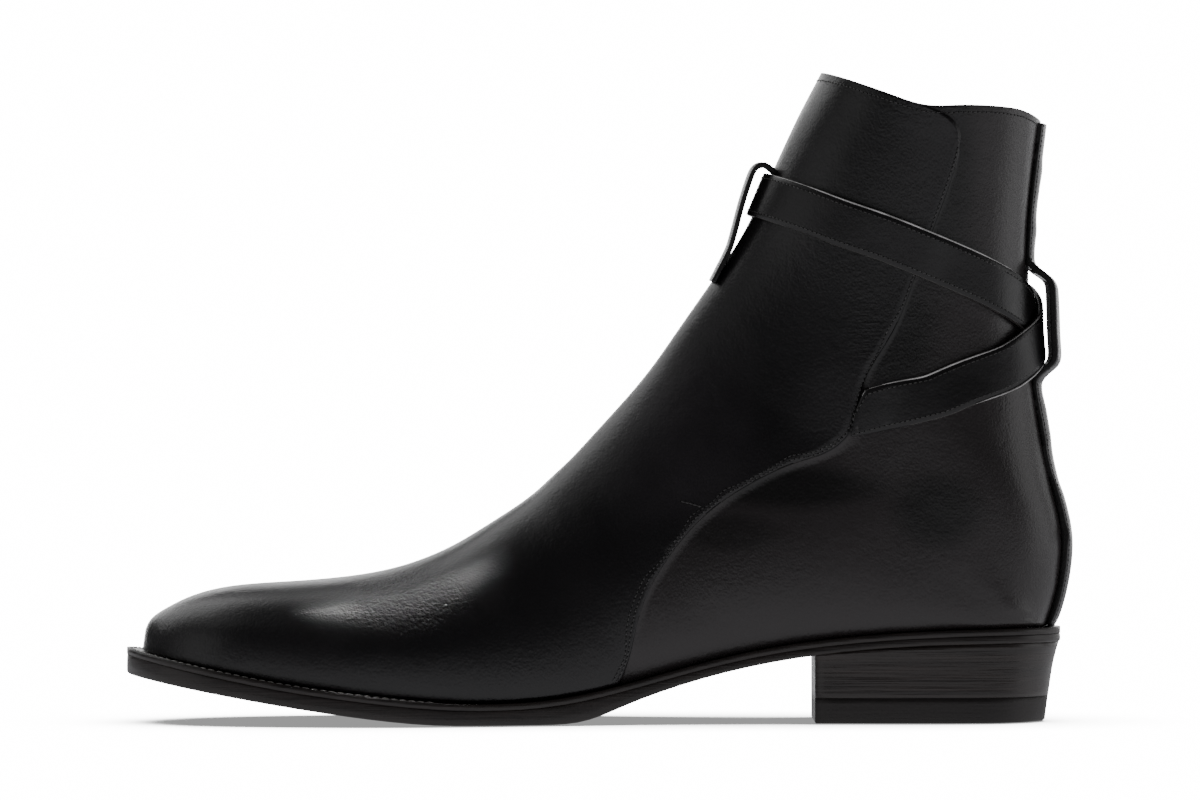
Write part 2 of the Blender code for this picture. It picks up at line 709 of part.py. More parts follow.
def standing_strip(name, turn, path, stand, width, thick, columns, count, material):
    """A strip up the back or the front line whose path (section, stand) may stand off in a loop."""
    last = len(SECTIONS) - 1
    marks = [(0.0, STRIP_FROM)]
    while marks[-1][1] + STRIP_MARK <= last:
        t = marks[-1][1] + STRIP_MARK
        gap = place(t, turn) - place(marks[-1][1], turn)
        marks.append((marks[-1][0] + float(np.linalg.norm(gap)), t))
    lengths = tuple((t, s) for s, t in marks)
    marks = tuple(marks)
    knots = [(curve(lengths, t), lift * stand) for t, lift in path]
    steps = [0.0]
    for one, two in zip(knots, knots[1:]):
        steps.append(steps[-1] + math.dist(one, two))
    along = tuple(zip(steps, [knot[0] for knot in knots]))
    stands = tuple(zip(steps, [knot[1] for knot in knots]))
    near, far = [], []
    for k in range(count):
        s = steps[-1] * k / (count - 1)
        before, after = max(s - 0.0004, 0.0), min(s + 0.0004, steps[-1])
        way = np.array((curve(along, after) - curve(along, before),
                        curve(stands, after) - curve(stands, before)))
        way = way / np.linalg.norm(way)
        inner = np.array((curve(along, s), curve(stands, s)))
        outer = inner + np.array((-way[1], way[0])) * thick * (1 if turn else -1)
        for line, spot in ((near, inner), (far, outer)):
            t = curve(marks, spot[0])
            reach = np.linalg.norm(place(t, one_round(turn + 0.1)) - place(t, one_round(turn - 0.1)))
            for c in range(columns):
                share = c / (columns - 1) - 0.5
                angle = one_round(turn + share * width / reach * 0.2)
                point = skin(t, angle, spot[1] + seat_lift(t, angle))
                point[2] = max(point[2], feather(point[0]))
                line.append(point)
    return solid(name, near + far, box_faces(count, columns), material)


# Route of the one long strap, from its root under the inner flap's edge: section, share of the
# section's height, and the side it is on (0 inner side going back, 1 outer side going forward,
# 2 inner side going back again, 3 outer side going forward to the buckle)
WINDING = (
    (16.79, 0.550, 0), (17.32, 0.460, 0), (17.84, 0.350, 0), (18.26, 0.240, 0), (18.64, 0.110, 0),
    (18.90, 0.040, 0), (19.12, 0.000, 0), (19.26, 0.040, 1), (19.28, 0.150, 1), (19.22, 0.340, 1),
    (19.10, 0.570, 1), (18.90, 0.800, 1), (18.64, 1.000, 1), (18.90, 0.800, 2), (19.10, 0.570, 2),
    (19.22, 0.340, 2), (19.28, 0.150, 2), (19.26, 0.040, 2), (19.12, 0.000, 2), (18.90, 0.040, 3),
    (18.64, 0.110, 3), (18.26, 0.240, 3), (17.84, 0.350, 3), (17.40, 0.445, 3), (17.00, 0.515, 3),
)
ROOT = ((16.79, 0.550, 1), (17.10, 0.500, 1), (17.46, 0.432, 1))


def winding_spots(rows):
    spots = []
    for t, up, side in rows:
        turn = turn_at(t, up)
        spots.append((t, (turn, 2 * math.pi - turn, 2 * math.pi + turn, 4 * math.pi - turn)[int(side)]))
    return spots


route = Route(winding_spots(WINDING))
back_first = route.turns[6][0]
tip = route.length
bar_at = tip - TIP_LENGTH
far_bar_at = bar_at - FRAME_LENGTH


def strap_lift(s):
    """Over its own first pass at the back, and over the buckle's bar and strap at its tip."""
    crossing = 1 - ease((abs(s - back_first) - CROSSING) / CROSSING)
    over_bar = ease((s - far_bar_at - 2 * MM) / (FRAME_LENGTH - 4 * MM))
    return SEATED + (STRAP_THICK + SEATED) * crossing + BUCKLE_STRAP_STACK * over_bar


def strap_thick(s):
    return STRAP_THICK * (0.38 + 0.62 * ease(s / SKIVE))


def strap_skew(s):
    return ROOT_SKEW * (1 - ease(s / (2 * SKIVE)))


strap_stations = [route.length * k / 72 for k in range(73)]
ribbon("strap", route, strap_stations, STRAP_WIDTH, strap_lift, strap_thick, strap_skew, CALF_STRAP)

# Short strap that holds the buckle, on the outer side
root_route = Route(winding_spots(ROOT))
root_end = root_route.length
ribbon("buckle_strap", root_route, [root_end * k / 5 for k in range(6)], STRAP_WIDTH,
       lambda s: SEATED, lambda s: BUCKLE_STRAP_THICK, lambda s: 0.0, CALF_STRAP)

# Back strip up the whole heel line, standing off in a loop round both passes of the strap
standing_strip("backstay", math.pi, (
    (16.04, 0.07), (17.20, 0.07), (18.40, 0.07), (18.63, 0.08), (18.71, 0.45), (18.79, 0.90),
    (19.08, 1.00), (19.40, 1.00), (19.58, 0.90), (19.66, 0.45), (19.74, 0.08), (19.95, 0.07),
    (20.97, 0.07)), LOOP_STAND, BACKSTAY_WIDTH, BACKSTAY_THICK, 5, 60, CALF)

# Loop on the front line, round the strap where it turns back
standing_strip("front_loop", 0.0, (
    (19.07, 0.50), (19.18, 0.50), (19.27, 0.62), (19.26, 0.84), (19.14, 0.97), (18.88, 0.97),
    (18.57, 0.86), (18.17, 0.64), (17.86, 0.42), (17.46, 0.10), (17.10, 0.06)), LOOP_STAND,
    FRONT_LOOP_WIDTH, FRONT_LOOP_THICK, 5, 30, CALF_STRAP)


def sweep(name, centres, lifts, radius, sides, closed, material):
    """A round bar along its centre line; lifts are directions out of the bar's own plane."""
    points, faces = [], []
    count = len(centres)
    for k, centre in enumerate(centres):
        if closed:
            way = centres[(k + 1) % count] - centres[k - 1]
        else:
            way = centres[min(k + 1, count - 1)] - centres[max(k - 1, 0)]
        way = way / np.linalg.norm(way)
        side = np.cross(way, lifts[k])
        side = side / np.linalg.norm(side)
        rise = np.cross(side, way)
        for j in range(sides):
            angle = 2 * math.pi * j / sides
            points.append(centre + radius * (math.cos(angle) * side + math.sin(angle) * rise))
    for k in range(count if closed else count - 1):
        one, two = k * sides, (k + 1) % count * sides
        faces += loop_faces(one, two, sides)
    if not closed:
        faces.append(tuple(range(sides)))
        faces.append(tuple(range(len(points) - sides, len(points))))
    return solid(name, points, faces, material)


# Buckle frame: one bar under the strap at the root, the other over the strap; its corners are
# rounded over shares of its half length and half width
CORNER_U = 0.20
CORNER_V = 0.25
half_frame = STRAP_WIDTH / 2 + SEATED + BAR_RADIUS
near_low = SEATED + BAR_RADIUS
far_high = SEATED + STRAP_THICK + BAR_CLEAR + BAR_RADIUS
corners = (route.point(bar_at, -half_frame, near_low), route.point(bar_at, half_frame, near_low),
           route.point(far_bar_at, half_frame, far_high), route.point(far_bar_at, -half_frame, far_high))


def on_frame(u, v):
    near_side = corners[0] * (1 - u) / 2 + corners[1] * (1 + u) / 2
    far_side = corners[3] * (1 - u) / 2 + corners[2] * (1 + u) / 2
    return near_side * (1 - v) / 2 + far_side * (1 + v) / 2


up_side = np.cross(corners[1] - corners[0], corners[3] - corners[0])
if np.dot(up_side, outward(*route.spot(bar_at)[:1], one_round(route.spot(bar_at)[1]))) < 0:
    up_side = -up_side
up_side = up_side / np.linalg.norm(up_side)
ring = []
for corner_u, corner_v, first in ((1, -1, -90), (1, 1, 0), (-1, 1, 90), (-1, -1, 180)):
    for k in range(4):
        angle = math.radians(first + 30 * k)
        along_bar = corner_u * (1 - CORNER_U) + CORNER_U * math.cos(angle)
        across_bar = corner_v * (1 - CORNER_V) + CORNER_V * math.sin(angle)
        ring.append(on_frame(along_bar, across_bar))
sweep("buckle_frame", ring, [up_side] * len(ring), BAR_RADIUS, 8, True, STEEL)

# Pin: lies on the strap and on the far bar
pin_low = SEATED + BUCKLE_STRAP_STACK + STRAP_THICK + GAP + PIN_RADIUS
pin_high = far_high + BAR_RADIUS + GAP + PIN_RADIUS
pin_line = [route.point(bar_at + (far_bar_at - bar_at) * share, 0.0, pin_low + (pin_high - pin_low) * share)
            for share in (0.0, 0.5, 1.0, 1.12)]
sweep("buckle_pin", pin_line, [up_side] * 4, PIN_RADIUS, 8, False, STEEL)

# Keeper: a small leather arch over the strap's tip, its feet on the quarter
keeper_at = bar_at + KEEPER_AWAY
stack_top = SEATED + BUCKLE_STRAP_STACK + STRAP_THICK
inner_half = STRAP_WIDTH / 2 + SEATED
outer_half = inner_half + KEEPER_THICK
arch = ((-outer_half, SEATED), (-outer_half, stack_top + GAP + KEEPER_THICK),
        (outer_half, stack_top + GAP + KEEPER_THICK), (outer_half, SEATED), (inner_half, SEATED),
        (inner_half, stack_top + GAP), (-inner_half, stack_top + GAP), (-inner_half, SEATED))
keeper_points = [route.point(keeper_at + side * KEEPER_WIDTH / 2, across, lift)
                 for side in (-1, 1) for across, lift in arch]
keeper_faces = loop_faces(0, 8, 8)
for start in (0, 8):
    keeper_faces += [(start, start + 1, start + 6, start + 7), (start + 1, start + 2, start + 5, start + 6),
                     (start + 2, start + 3, start + 4, start + 5)]
solid("strap_keeper", keeper_points, keeper_faces, CALF_STRAP, smooth=False)
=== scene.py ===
"""Looks of the right jodhpur boot: black polished calf, its straps, loops, buckle, sole and heel."""
import math

import bmesh
import bpy
import numpy as np
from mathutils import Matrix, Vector
from mathutils.bvhtree import BVHTree
from mathutils.kdtree import KDTree


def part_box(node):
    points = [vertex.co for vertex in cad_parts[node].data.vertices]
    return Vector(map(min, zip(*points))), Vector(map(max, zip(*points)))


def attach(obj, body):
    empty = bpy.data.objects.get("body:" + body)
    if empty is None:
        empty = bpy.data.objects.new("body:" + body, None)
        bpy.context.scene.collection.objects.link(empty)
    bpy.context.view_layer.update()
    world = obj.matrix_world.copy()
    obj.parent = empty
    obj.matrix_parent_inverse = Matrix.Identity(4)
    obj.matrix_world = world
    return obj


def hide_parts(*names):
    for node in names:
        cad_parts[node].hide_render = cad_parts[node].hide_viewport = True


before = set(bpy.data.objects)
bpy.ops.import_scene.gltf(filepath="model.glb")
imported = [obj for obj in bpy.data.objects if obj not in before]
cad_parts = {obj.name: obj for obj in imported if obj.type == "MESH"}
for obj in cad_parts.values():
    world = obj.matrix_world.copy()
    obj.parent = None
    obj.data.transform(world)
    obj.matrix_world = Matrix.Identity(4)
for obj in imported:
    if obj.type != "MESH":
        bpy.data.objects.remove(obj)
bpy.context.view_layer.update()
MM = 0.001

# The studio: a white paper floor and white air, a lit paper wall on the boot's outer side, and soft
# panels above it, over its instep, in front, at the toe, behind the heel and at the back. The boot
# is seen square on from its inner side, from far off.
sensor = 36.0
picture_width = 394.8 * MM
camera_away = 2.6
camera_lift = 0.012
view_centre = Vector((108.6 * MM, 0.0, 105.2 * MM))
camera_data = bpy.data.cameras.new("studio_camera")
camera_data.sensor_width = sensor
camera_data.lens = sensor * camera_away / picture_width
camera_data.clip_end = 50.0
camera = bpy.data.objects.new("studio_camera", camera_data)
bpy.context.scene.collection.objects.link(camera)
camera.location = view_centre + Vector((0.0, camera_away, camera_lift))
camera.rotation_euler = (view_centre - camera.location).to_track_quat("-Z", "Y").to_euler()
bpy.context.scene.camera = camera


def new_node(tree, kind, **values):
    """A shader node with values on its sockets; From_Min stands for the socket From Min."""
    made = tree.nodes.new("ShaderNode" + kind)
    for socket, value in values.items():
        made.inputs[socket.replace("_", " ")].default_value = value
    return made


def seen_and_lit(tree, lit, seen, output):
    """Shows the camera one brightness of paper or air and lights the boot with another."""
    ray = new_node(tree, "LightPath")
    mix = new_node(tree, "MixShader")
    tree.links.new(ray.outputs["Is Camera Ray"], mix.inputs["Fac"])
    tree.links.new(lit, mix.inputs[1])
    tree.links.new(seen, mix.inputs[2])
    tree.links.new(mix.outputs["Shader"], tree.nodes[output].inputs["Surface"])


white_seen = 16.0
bpy.ops.object.select_all(action="DESELECT")
bpy.ops.mesh.primitive_circle_add(vertices=96, radius=9.0, fill_type="NGON", location=(0.1, 0.0, -0.0004))
floor = bpy.context.object
floor.name = "floor"
paper = bpy.data.materials.new("floor_paper")
paper.use_nodes = True
paper_tree = paper.node_tree
paper_tree.nodes.remove(paper_tree.nodes["Principled BSDF"])
# the paper glows: a faint even glow lights the boot, and the camera sees it white
bounce = new_node(paper_tree, "Emission", Color=(0.97, 0.97, 1.0, 1.0), Strength=0.58)
glow = new_node(paper_tree, "Emission")
# painted contact shadow: the glow the camera sees is darkened where ambient occlusion finds the boot
# close
shade = new_node(paper_tree, "AmbientOcclusion", Distance=0.06)
shade_curve = new_node(
    paper_tree, "MapRange", From_Min=0.35, From_Max=0.95, To_Min=0.35, To_Max=white_seen)
paper_tree.links.new(shade.outputs["AO"], shade_curve.inputs["Value"])
paper_tree.links.new(shade_curve.outputs["Result"], glow.inputs["Strength"])
seen_and_lit(paper_tree, bounce.outputs["Emission"], glow.outputs["Emission"], "Material Output")
floor.data.materials.append(paper)

# each panel's name, place, the point it faces, its width and height, and its power in watts
for name, place, aim, size, power in (
        ("top_box", (0.16, -0.85, 1.15), (0.12, 0.0, 0.05), (1.3, 0.6), 1.3),
        ("paper_wall", (0.10, -1.60, 0.28), (0.10, 0.0, 0.10), (1.8, 0.8), 9.5),
        ("instep_panel", (0.95, -0.75, 1.02), (0.10, 0.0, 0.08), (1.0, 1.0), 3.8),
        ("front_panel", (0.95, 0.10, 1.20), (0.10, 0.0, 0.08), (1.0, 0.8), 0.7),
        ("toe_panel", (1.30, 0.50, 0.36), (0.13, 0.0, 0.08), (0.9, 0.8), 0.9),
        ("heel_panel", (-1.20, -0.05, 0.32), (0.0, 0.0, 0.10), (0.75, 0.7), 1.5),
        ("back_panel", (-0.95, -1.05, 0.30), (0.0, 0.0, 0.10), (0.9, 0.8), 1.5)):
    panel_data = bpy.data.lights.new(name, "AREA")
    panel_data.shape = "RECTANGLE"
    panel_data.size, panel_data.size_y = size
    panel_data.energy = power
    panel = bpy.data.objects.new(name, panel_data)
    bpy.context.scene.collection.objects.link(panel)
    panel.location = place
    panel.rotation_euler = (Vector(aim) - Vector(place)).to_track_quat("-Z", "Y").to_euler()
    panel.visible_camera = False

world = bpy.data.worlds.new("studio_air")
bpy.context.scene.world = world
world.use_nodes = True
air = world.node_tree
dim_air = air.nodes["Background"]
dim_air.inputs["Color"].default_value = (0.96, 0.97, 1.0, 1.0)
dim_air.inputs["Strength"].default_value = 0.055
white_air = new_node(air, "Background", Color=(1.0, 1.0, 1.0, 1.0), Strength=white_seen)
seen_and_lit(air, dim_air.outputs["Background"], white_air.outputs["Background"], "World Output")


# Upper: vamp with its flap over the quarter, one hollow shell of calf 2 mm thick, lasted over the
# foot's form and sewn to the welt. It is the frame's own solid smoothed, lined with pale kid
# leather inside, and its soft creases at the ball, instep and ankle are pressed in along given lines.

# corners closer than this are one corner
same_place = 0.00002


def work_on(piece):
    bpy.ops.object.select_all(action="DESELECT")
    piece.select_set(True)
    bpy.context.view_layer.objects.active = piece


def clean_copy(node, name):
    """A copy of a frame node as one closed skin, mostly of four-sided faces."""
    source = bpy.data.objects[node]
    piece = source.copy()
    piece.data = source.data.copy()
    piece.name = name
    bpy.context.scene.collection.objects.link(piece)
    piece.data.materials.clear()
    work_on(piece)
    bpy.ops.object.mode_set(mode="EDIT")
    bpy.ops.mesh.select_all(action="SELECT")
    bpy.ops.mesh.remove_doubles(threshold=same_place)
    bpy.ops.mesh.tris_convert_to_quads(face_threshold=math.radians(60), shape_threshold=math.radians(120))
    bpy.ops.object.mode_set(mode="OBJECT")
    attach(piece, "root")
    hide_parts(node)
    return piece


def smooth_out(piece, levels, keep, angle=42.0):
    """Rounds the skin off, holding its corners sharper than angle as firmly as keep says."""
    shape = bmesh.new()
    shape.from_mesh(piece.data)
    crease = shape.edges.layers.float.get("crease_edge") or shape.edges.layers.float.new("crease_edge")
    for edge in shape.edges:
        if len(edge.link_faces) == 2 and edge.calc_face_angle(0.0) > math.radians(angle):
            edge[crease] = keep
    shape.to_mesh(piece.data)
    shape.free()
    work_on(piece)
    rounder = piece.modifiers.new("rounder", "SUBSURF")
    rounder.levels = rounder.render_levels = levels
    bpy.ops.object.modifier_apply(modifier="rounder")
    bpy.ops.object.shade_smooth()


def tree_of(piece):
    """A piece's skin, to look up the nearest point on it or where a ray meets it."""
    return BVHTree.FromPolygons([corner.co.copy() for corner in piece.data.vertices],
                                [tuple(face.vertices) for face in piece.data.polygons])


def boot_space(tree):
    """The boot's own coordinates, for the patterns of a material."""
    place = tree.nodes.get("Texture Coordinate") or new_node(tree, "TexCoord")
    return place.outputs["Object"]


def texture(tree, kind, scale, detail=4.0):
    """A Noise or Voronoi pattern; scale is one number, or one for each axis."""
    stretch = new_node(tree, "Mapping", Scale=scale if isinstance(scale, tuple) else (scale,) * 3)
    tree.links.new(boot_space(tree), stretch.inputs["Vector"])
    pattern = new_node(tree, "Tex" + kind, Scale=1.0)
    if kind == "Noise":
        pattern.inputs["Detail"].default_value = detail
    tree.links.new(stretch.outputs["Vector"], pattern.inputs["Vector"])
    return pattern.outputs["Distance" if kind == "Voronoi" else "Fac"]


def surface(name, dark, light, rough, patches, bumps, coat=0.0, coat_rough=0.2, metal=0.0):
    """A material whose tone and gloss drift between patches and whose grain is layered bumps.

    patches is the scale of the drift; each bump is its kind, scale and depth in metres."""
    material = bpy.data.materials.new(name)
    material.use_nodes = True
    tree = material.node_tree
    shader = tree.nodes["Principled BSDF"]
    drift = texture(tree, "Noise", patches)
    spread = new_node(tree, "MapRange", From_Min=0.35, From_Max=0.65)
    tone = tree.nodes.new("ShaderNodeMix")
    tone.data_type = "RGBA"
    tone.inputs["A"].default_value = (*dark, 1.0)
    tone.inputs["B"].default_value = (*light, 1.0)
    tree.links.new(drift, spread.inputs["Value"])
    tree.links.new(spread.outputs["Result"], tone.inputs["Factor"])
    tree.links.new(tone.outputs["Result"], shader.inputs["Base Color"])
    gloss = new_node(
        tree, "MapRange", From_Min=0.3, From_Max=0.7, To_Min=rough * 0.86, To_Max=rough * 1.16)
    tree.links.new(drift, gloss.inputs["Value"])
    tree.links.new(gloss.outputs["Result"], shader.inputs["Roughness"])
    last = None
    for kind, scale, depth in bumps:
        layer = new_node(tree, "Bump", Strength=1.0, Distance=depth)
        tree.links.new(texture(tree, kind, scale), layer.inputs["Height"])
        if last:
            tree.links.new(last.outputs["Normal"], layer.inputs["Normal"])
        last = layer
    for socket in ("Normal", "Coat Normal"):
        tree.links.new(last.outputs["Normal"], shader.inputs[socket])
    shader.inputs["Metallic"].default_value = metal
    shader.inputs["Coat Weight"].default_value = coat
    shader.inputs["Coat Roughness"].default_value = coat_rough
    return material


calf_grain = (("Noise", 28, 0.0006), ("Noise", 520, 0.00007), ("Noise", 1300, 0.00012))
polished_calf = surface(
    "polished_calf", (0.0065, 0.0056, 0.0066), (0.0115, 0.0098, 0.0112), 0.36, 30, calf_grain,
    coat=0.30, coat_rough=0.17)
# the quarter's calf: the same black calf painted lighter, a painted sheen of the light it catches
quarter_calf_painted_sheen = surface(
    "quarter_calf_painted_sheen", (0.028, 0.0235, 0.024), (0.036, 0.030, 0.031), 0.36, 16, calf_grain,
    coat=0.30, coat_rough=0.17)
# painted shade: near-black for the needle pits, the strap's holes and a line along the flap's edge
pit_and_seam_shade = surface(
    "pit_and_seam_painted_shade", (0.0012, 0.0010, 0.0012), (0.0022, 0.0018, 0.0020), 0.9, 900,
    (("Noise", 2600, 0.00004),))
lining_kid = surface(
    "lining_kid", (0.30, 0.19, 0.11), (0.38, 0.25, 0.15), 0.62, 45,
    (("Noise", 300, 0.00008), ("Voronoi", 1300, 0.00003)))


def around(tree, x, z, reach_x, reach_z):
    """A socket that is 1 round a spot of the side view, given in mm, and fades to 0 at its reach."""
    moved = new_node(tree, "Mapping", Location=(x * MM, 0.0, z * MM),
                     Scale=(reach_x * MM, 1000.0, reach_z * MM))
    moved.vector_type = "TEXTURE"
    tree.links.new(boot_space(tree), moved.inputs["Vector"])
    far = new_node(tree, "VectorMath")
    far.operation = "LENGTH"
    tree.links.new(moved.outputs["Vector"], far.inputs[0])
    share = new_node(tree, "MapRange", From_Min=0.45, From_Max=1.15, To_Min=1.0, To_Max=0.0)
    share.interpolation_type = "SMOOTHSTEP"
    tree.links.new(far.outputs["Value"], share.inputs["Value"])
    return share.outputs["Result"]


def painted_shade_or_light(material, x, z, reach_x, reach_z, amount):
    """Paints shade into the leather's tone softly round a spot, or paints light with an amount below
    zero.
    """
    tree = material.node_tree
    colour = tree.nodes["Principled BSDF"].inputs["Base Color"]
    keep = new_node(tree, "Math")
    keep.operation = "MULTIPLY_ADD"
    keep.inputs[1].default_value = -amount
    keep.inputs[2].default_value = 1.0
    tree.links.new(around(tree, x, z, reach_x, reach_z), keep.inputs[0])
    tone = new_node(tree, "VectorMath")
    tone.operation = "SCALE"
    tree.links.new(colour.links[0].from_socket, tone.inputs[0])
    tree.links.new(keep.outputs["Value"], tone.inputs["Scale"])
    tree.links.new(tone.outputs["Vector"], colour)


def wrinkled(material, x, z, reach_x, reach_z, scale, depth):
    """Adds fine wrinkles or opened grain round a spot."""
    tree = material.node_tree
    shader = tree.nodes["Principled BSDF"]
    relief = new_node(tree, "Bump", Distance=depth)
    tree.links.new(around(tree, x, z, reach_x, reach_z), relief.inputs["Strength"])
    tree.links.new(texture(tree, "Noise", scale, detail=2.0), relief.inputs["Height"])
    tree.links.new(shader.inputs["Normal"].links[0].from_socket, relief.inputs["Normal"])
    for socket in ("Normal", "Coat Normal"):
        tree.links.new(relief.outputs["Normal"], shader.inputs[socket])


# painted shade darkens the quarter to deep black beside the flap, under the seam and in a patch over
# the heel: x, z, reach along x and along z in mm, and the share of its tone that is lost
for zone in (
        (-1.0, 184, 15, 52, 0.92), (14, 128, 17, 26, 0.92), (-1.4, 69, 17, 14, 0.85),
        (46, 77, 34, 8, 0.80), (66, 62, 18, 7, 0.5)):
    painted_shade_or_light(quarter_calf_painted_sheen, *zone)
# painted shade darkens the flap up the shaft, and painted light lightens it in a patch above the instep
painted_shade_or_light(polished_calf, 22, 170, 20, 70, 0.55)
painted_shade_or_light(polished_calf, 82, 92, 30, 34, -1.3)

# grain opened behind the toes, fine wrinkles at the instep, ankle and along the flap's edge:
# x, z, reach along x and along z in mm, the scale of the noise, and its depth in metres
for zone in (
        (171, 39.5, 24, 15, 820, 0.00050),
        (118, 60, 22, 14, 900, 0.00012),
        (77, 106, 14, 12, (260, 260, 900), 0.00016),
        (22, 124, 8, 24, (220, 220, 1100), 0.00012)):
    wrinkled(polished_calf, *zone)

# the middle of the foot's space, from the toe to the heel and up the shaft: x, z
foot_middle = [Vector((x * MM, 0.0, z * MM)) for x, z in (
    (235, 32), (200, 38), (150, 42), (105, 55), (60, 72), (35, 95), (12, 130), (5, 220))]


def from_middle(point):
    """The way from the foot's middle line to a point."""
    best = None
    for one, two in zip(foot_middle, foot_middle[1:]):
        share = max(0.0, min(1.0, (point - one).dot(two - one) / (two - one).length_squared))
        way = point - (one + (two - one) * share)
        if best is None or way.length < best.length:
            best = way
    return best


def press(piece, line, depth, reach):
    """Presses a soft trough (or raises a ridge, depth below zero) along a line of points in mm."""
    spots = [np.array(spot) * MM for spot in line]
    places = np.empty(len(piece.data.vertices) * 3)
    piece.data.vertices.foreach_get("co", places)
    places = places.reshape(-1, 3)
    near = np.ones(len(places))
    for one, two in zip(spots, spots[1:]):
        share = np.clip((places - one) @ (two - one) / np.dot(two - one, two - one), 0, 1)
        away = np.linalg.norm(places - one - share[:, None] * (two - one), axis=1)
        near = np.minimum(near, away)
    for k in np.nonzero(near < 3 * reach * MM)[0]:
        way = from_middle(Vector(places[k])).normalized()
        places[k] -= np.array(way) * depth * MM * math.exp(-(near[k] / (reach * MM)) ** 2)
    piece.data.vertices.foreach_set("co", places.ravel())
    piece.data.update()


upper = clean_copy("upper", "upper_skin")

# the flap's edge on the inner (1) and outer (-1) side: sharp corners on the outside of the wall that
# belong neither to the feather edge over the sole nor to the collar's rim
sharp = math.radians(50)
feather_top = 0.036
rim_low = 0.19
flap_front = 0.112
edge_shape = bmesh.new()
edge_shape.from_mesh(upper.data)
flap_chains = {1: [], -1: []}
for edge in edge_shape.edges:
    if len(edge.link_faces) != 2 or edge.calc_face_angle_signed(0.0) < sharp:
        continue
    one, two = (corner.co.copy() for corner in edge.verts)
    centre = (one + two) / 2
    way = from_middle(centre).normalized()
    leans = [face.normal.z for face in edge.link_faces]
    outside = min(face.normal.dot(way) for face in edge.link_faces) > -0.45
    feather = min(leans) < -0.8 and centre.z < feather_top
    rim = max(leans) > 0.8 and centre.z > rim_low
    on_side = abs(centre.y) > 0.006 and centre.x < flap_front
    if outside and on_side and not feather and not rim:
        flap_chains[1 if centre.y > 0 else -1].append((one, two))
edge_shape.free()
smooth_out(upper, 2, 0.9)

# on the inner side the flap's edge runs up to 4.2 mm further forward above its corner; what moves
# there slides along the ankle's form, a cubic fitted to the skin
flap_corner_x, flap_corner_z = 19.3, 112.0
flap_forward = 4.2
ankle_z = 0.108
side_powers = [(i - j, j) for i in range(4) for j in range(i + 1)]


def side_terms(x, z):
    """The cubic's terms at a spot of the side view, in units of 100 mm."""
    return [(x * 10) ** i * ((z - ankle_z) * 10) ** j for i, j in side_powers]


side_spots = [corner.co.copy() for corner in upper.data.vertices
              if corner.co.y > 0 and corner.normal.y > 0.4
              and abs(corner.co.x / MM - flap_corner_x) < 30 and abs(corner.co.z - ankle_z) < 0.034]
side_form = np.linalg.lstsq(np.array([side_terms(spot.x, spot.z) for spot in side_spots]),
                            np.array([spot.y for spot in side_spots]), rcond=None)[0]


def slid(spot, forward):
    """A point of the inner side moved forward along the ankle's form."""
    there = float(np.dot(side_terms(spot.x + forward, spot.z), side_form))
    here = float(np.dot(side_terms(spot.x, spot.z), side_form))
    return Vector((spot.x + forward, spot.y + there - here, spot.z))


def at_flap(spot):
    """Where a point comes to lie as the flap's edge is moved."""
    across = (spot.x / MM - flap_corner_x) / 15
    above = (spot.z / MM - flap_corner_z) / 14
    share = math.exp(-across ** 2 - above ** 2)
    return slid(spot, flap_forward * MM * share) if spot.y > 0 and share > 0.01 else spot


for corner in upper.data.vertices:
    corner.co = at_flap(corner.co.copy())
flap_chains[1] = [(at_flap(one), at_flap(two)) for one, two in flap_chains[1]]

# the heel seat is lasted smooth on both sides of the back line, in rounds whose second pass brings
# back what the first one shrinks: lowest and highest point in mm, rounds
for low, high, rounds in ((33.5, 62.0, 40), (32.6, 42.0, 8)):
    work_on(upper)
    bpy.ops.object.mode_set(mode="EDIT")
    bpy.ops.mesh.select_all(action="DESELECT")
    bpy.ops.object.mode_set(mode="OBJECT")
    for corner in upper.data.vertices:
        corner.select = corner.co.x < -12 * MM and low * MM < corner.co.z < high * MM
    bpy.ops.object.mode_set(mode="EDIT")
    bpy.ops.mesh.select_mode(type="VERT")
    for n in range(rounds):
        bpy.ops.mesh.vertices_smooth(factor=0.6)
        bpy.ops.mesh.vertices_smooth(factor=-0.62)
    bpy.ops.object.mode_set(mode="OBJECT")

# soft creases across the ball on top, at the instep's bend, in front of the ankle and at its sides:
# the points of its line as (x, y, z), depth and reach, in mm
for line, depth, reach in (
        (((146, 40, 36), (150, 24, 47), (153, 4, 51)), 0.35, 4.0),
        (((158, 38, 33), (161, 22, 43), (163, 6, 47)), -0.22, 4.5),
        (((104, 30, 62), (110, 18, 76), (113, 2, 81)), 0.40, 4.5),
        (((84, 31, 72), (92, 20, 88), (96, 2, 94)), 0.35, 5.0),
        (((66, 30, 92), (76, 18, 106), (81, 3, 112)), 0.30, 5.0),
        (((30, 36, 84), (18, 37, 80), (4, 35, 84)), 0.35, 7.0),
        (((146, -42, 34), (150, -26, 45), (153, 0, 51)), 0.35, 4.0),
        (((104, -28, 62), (110, -14, 76), (113, 2, 81)), 0.40, 4.5),
        (((30, -36, 84), (18, -37, 80), (4, -35, 84)), 0.35, 7.0)):
    press(upper, line, depth, reach)

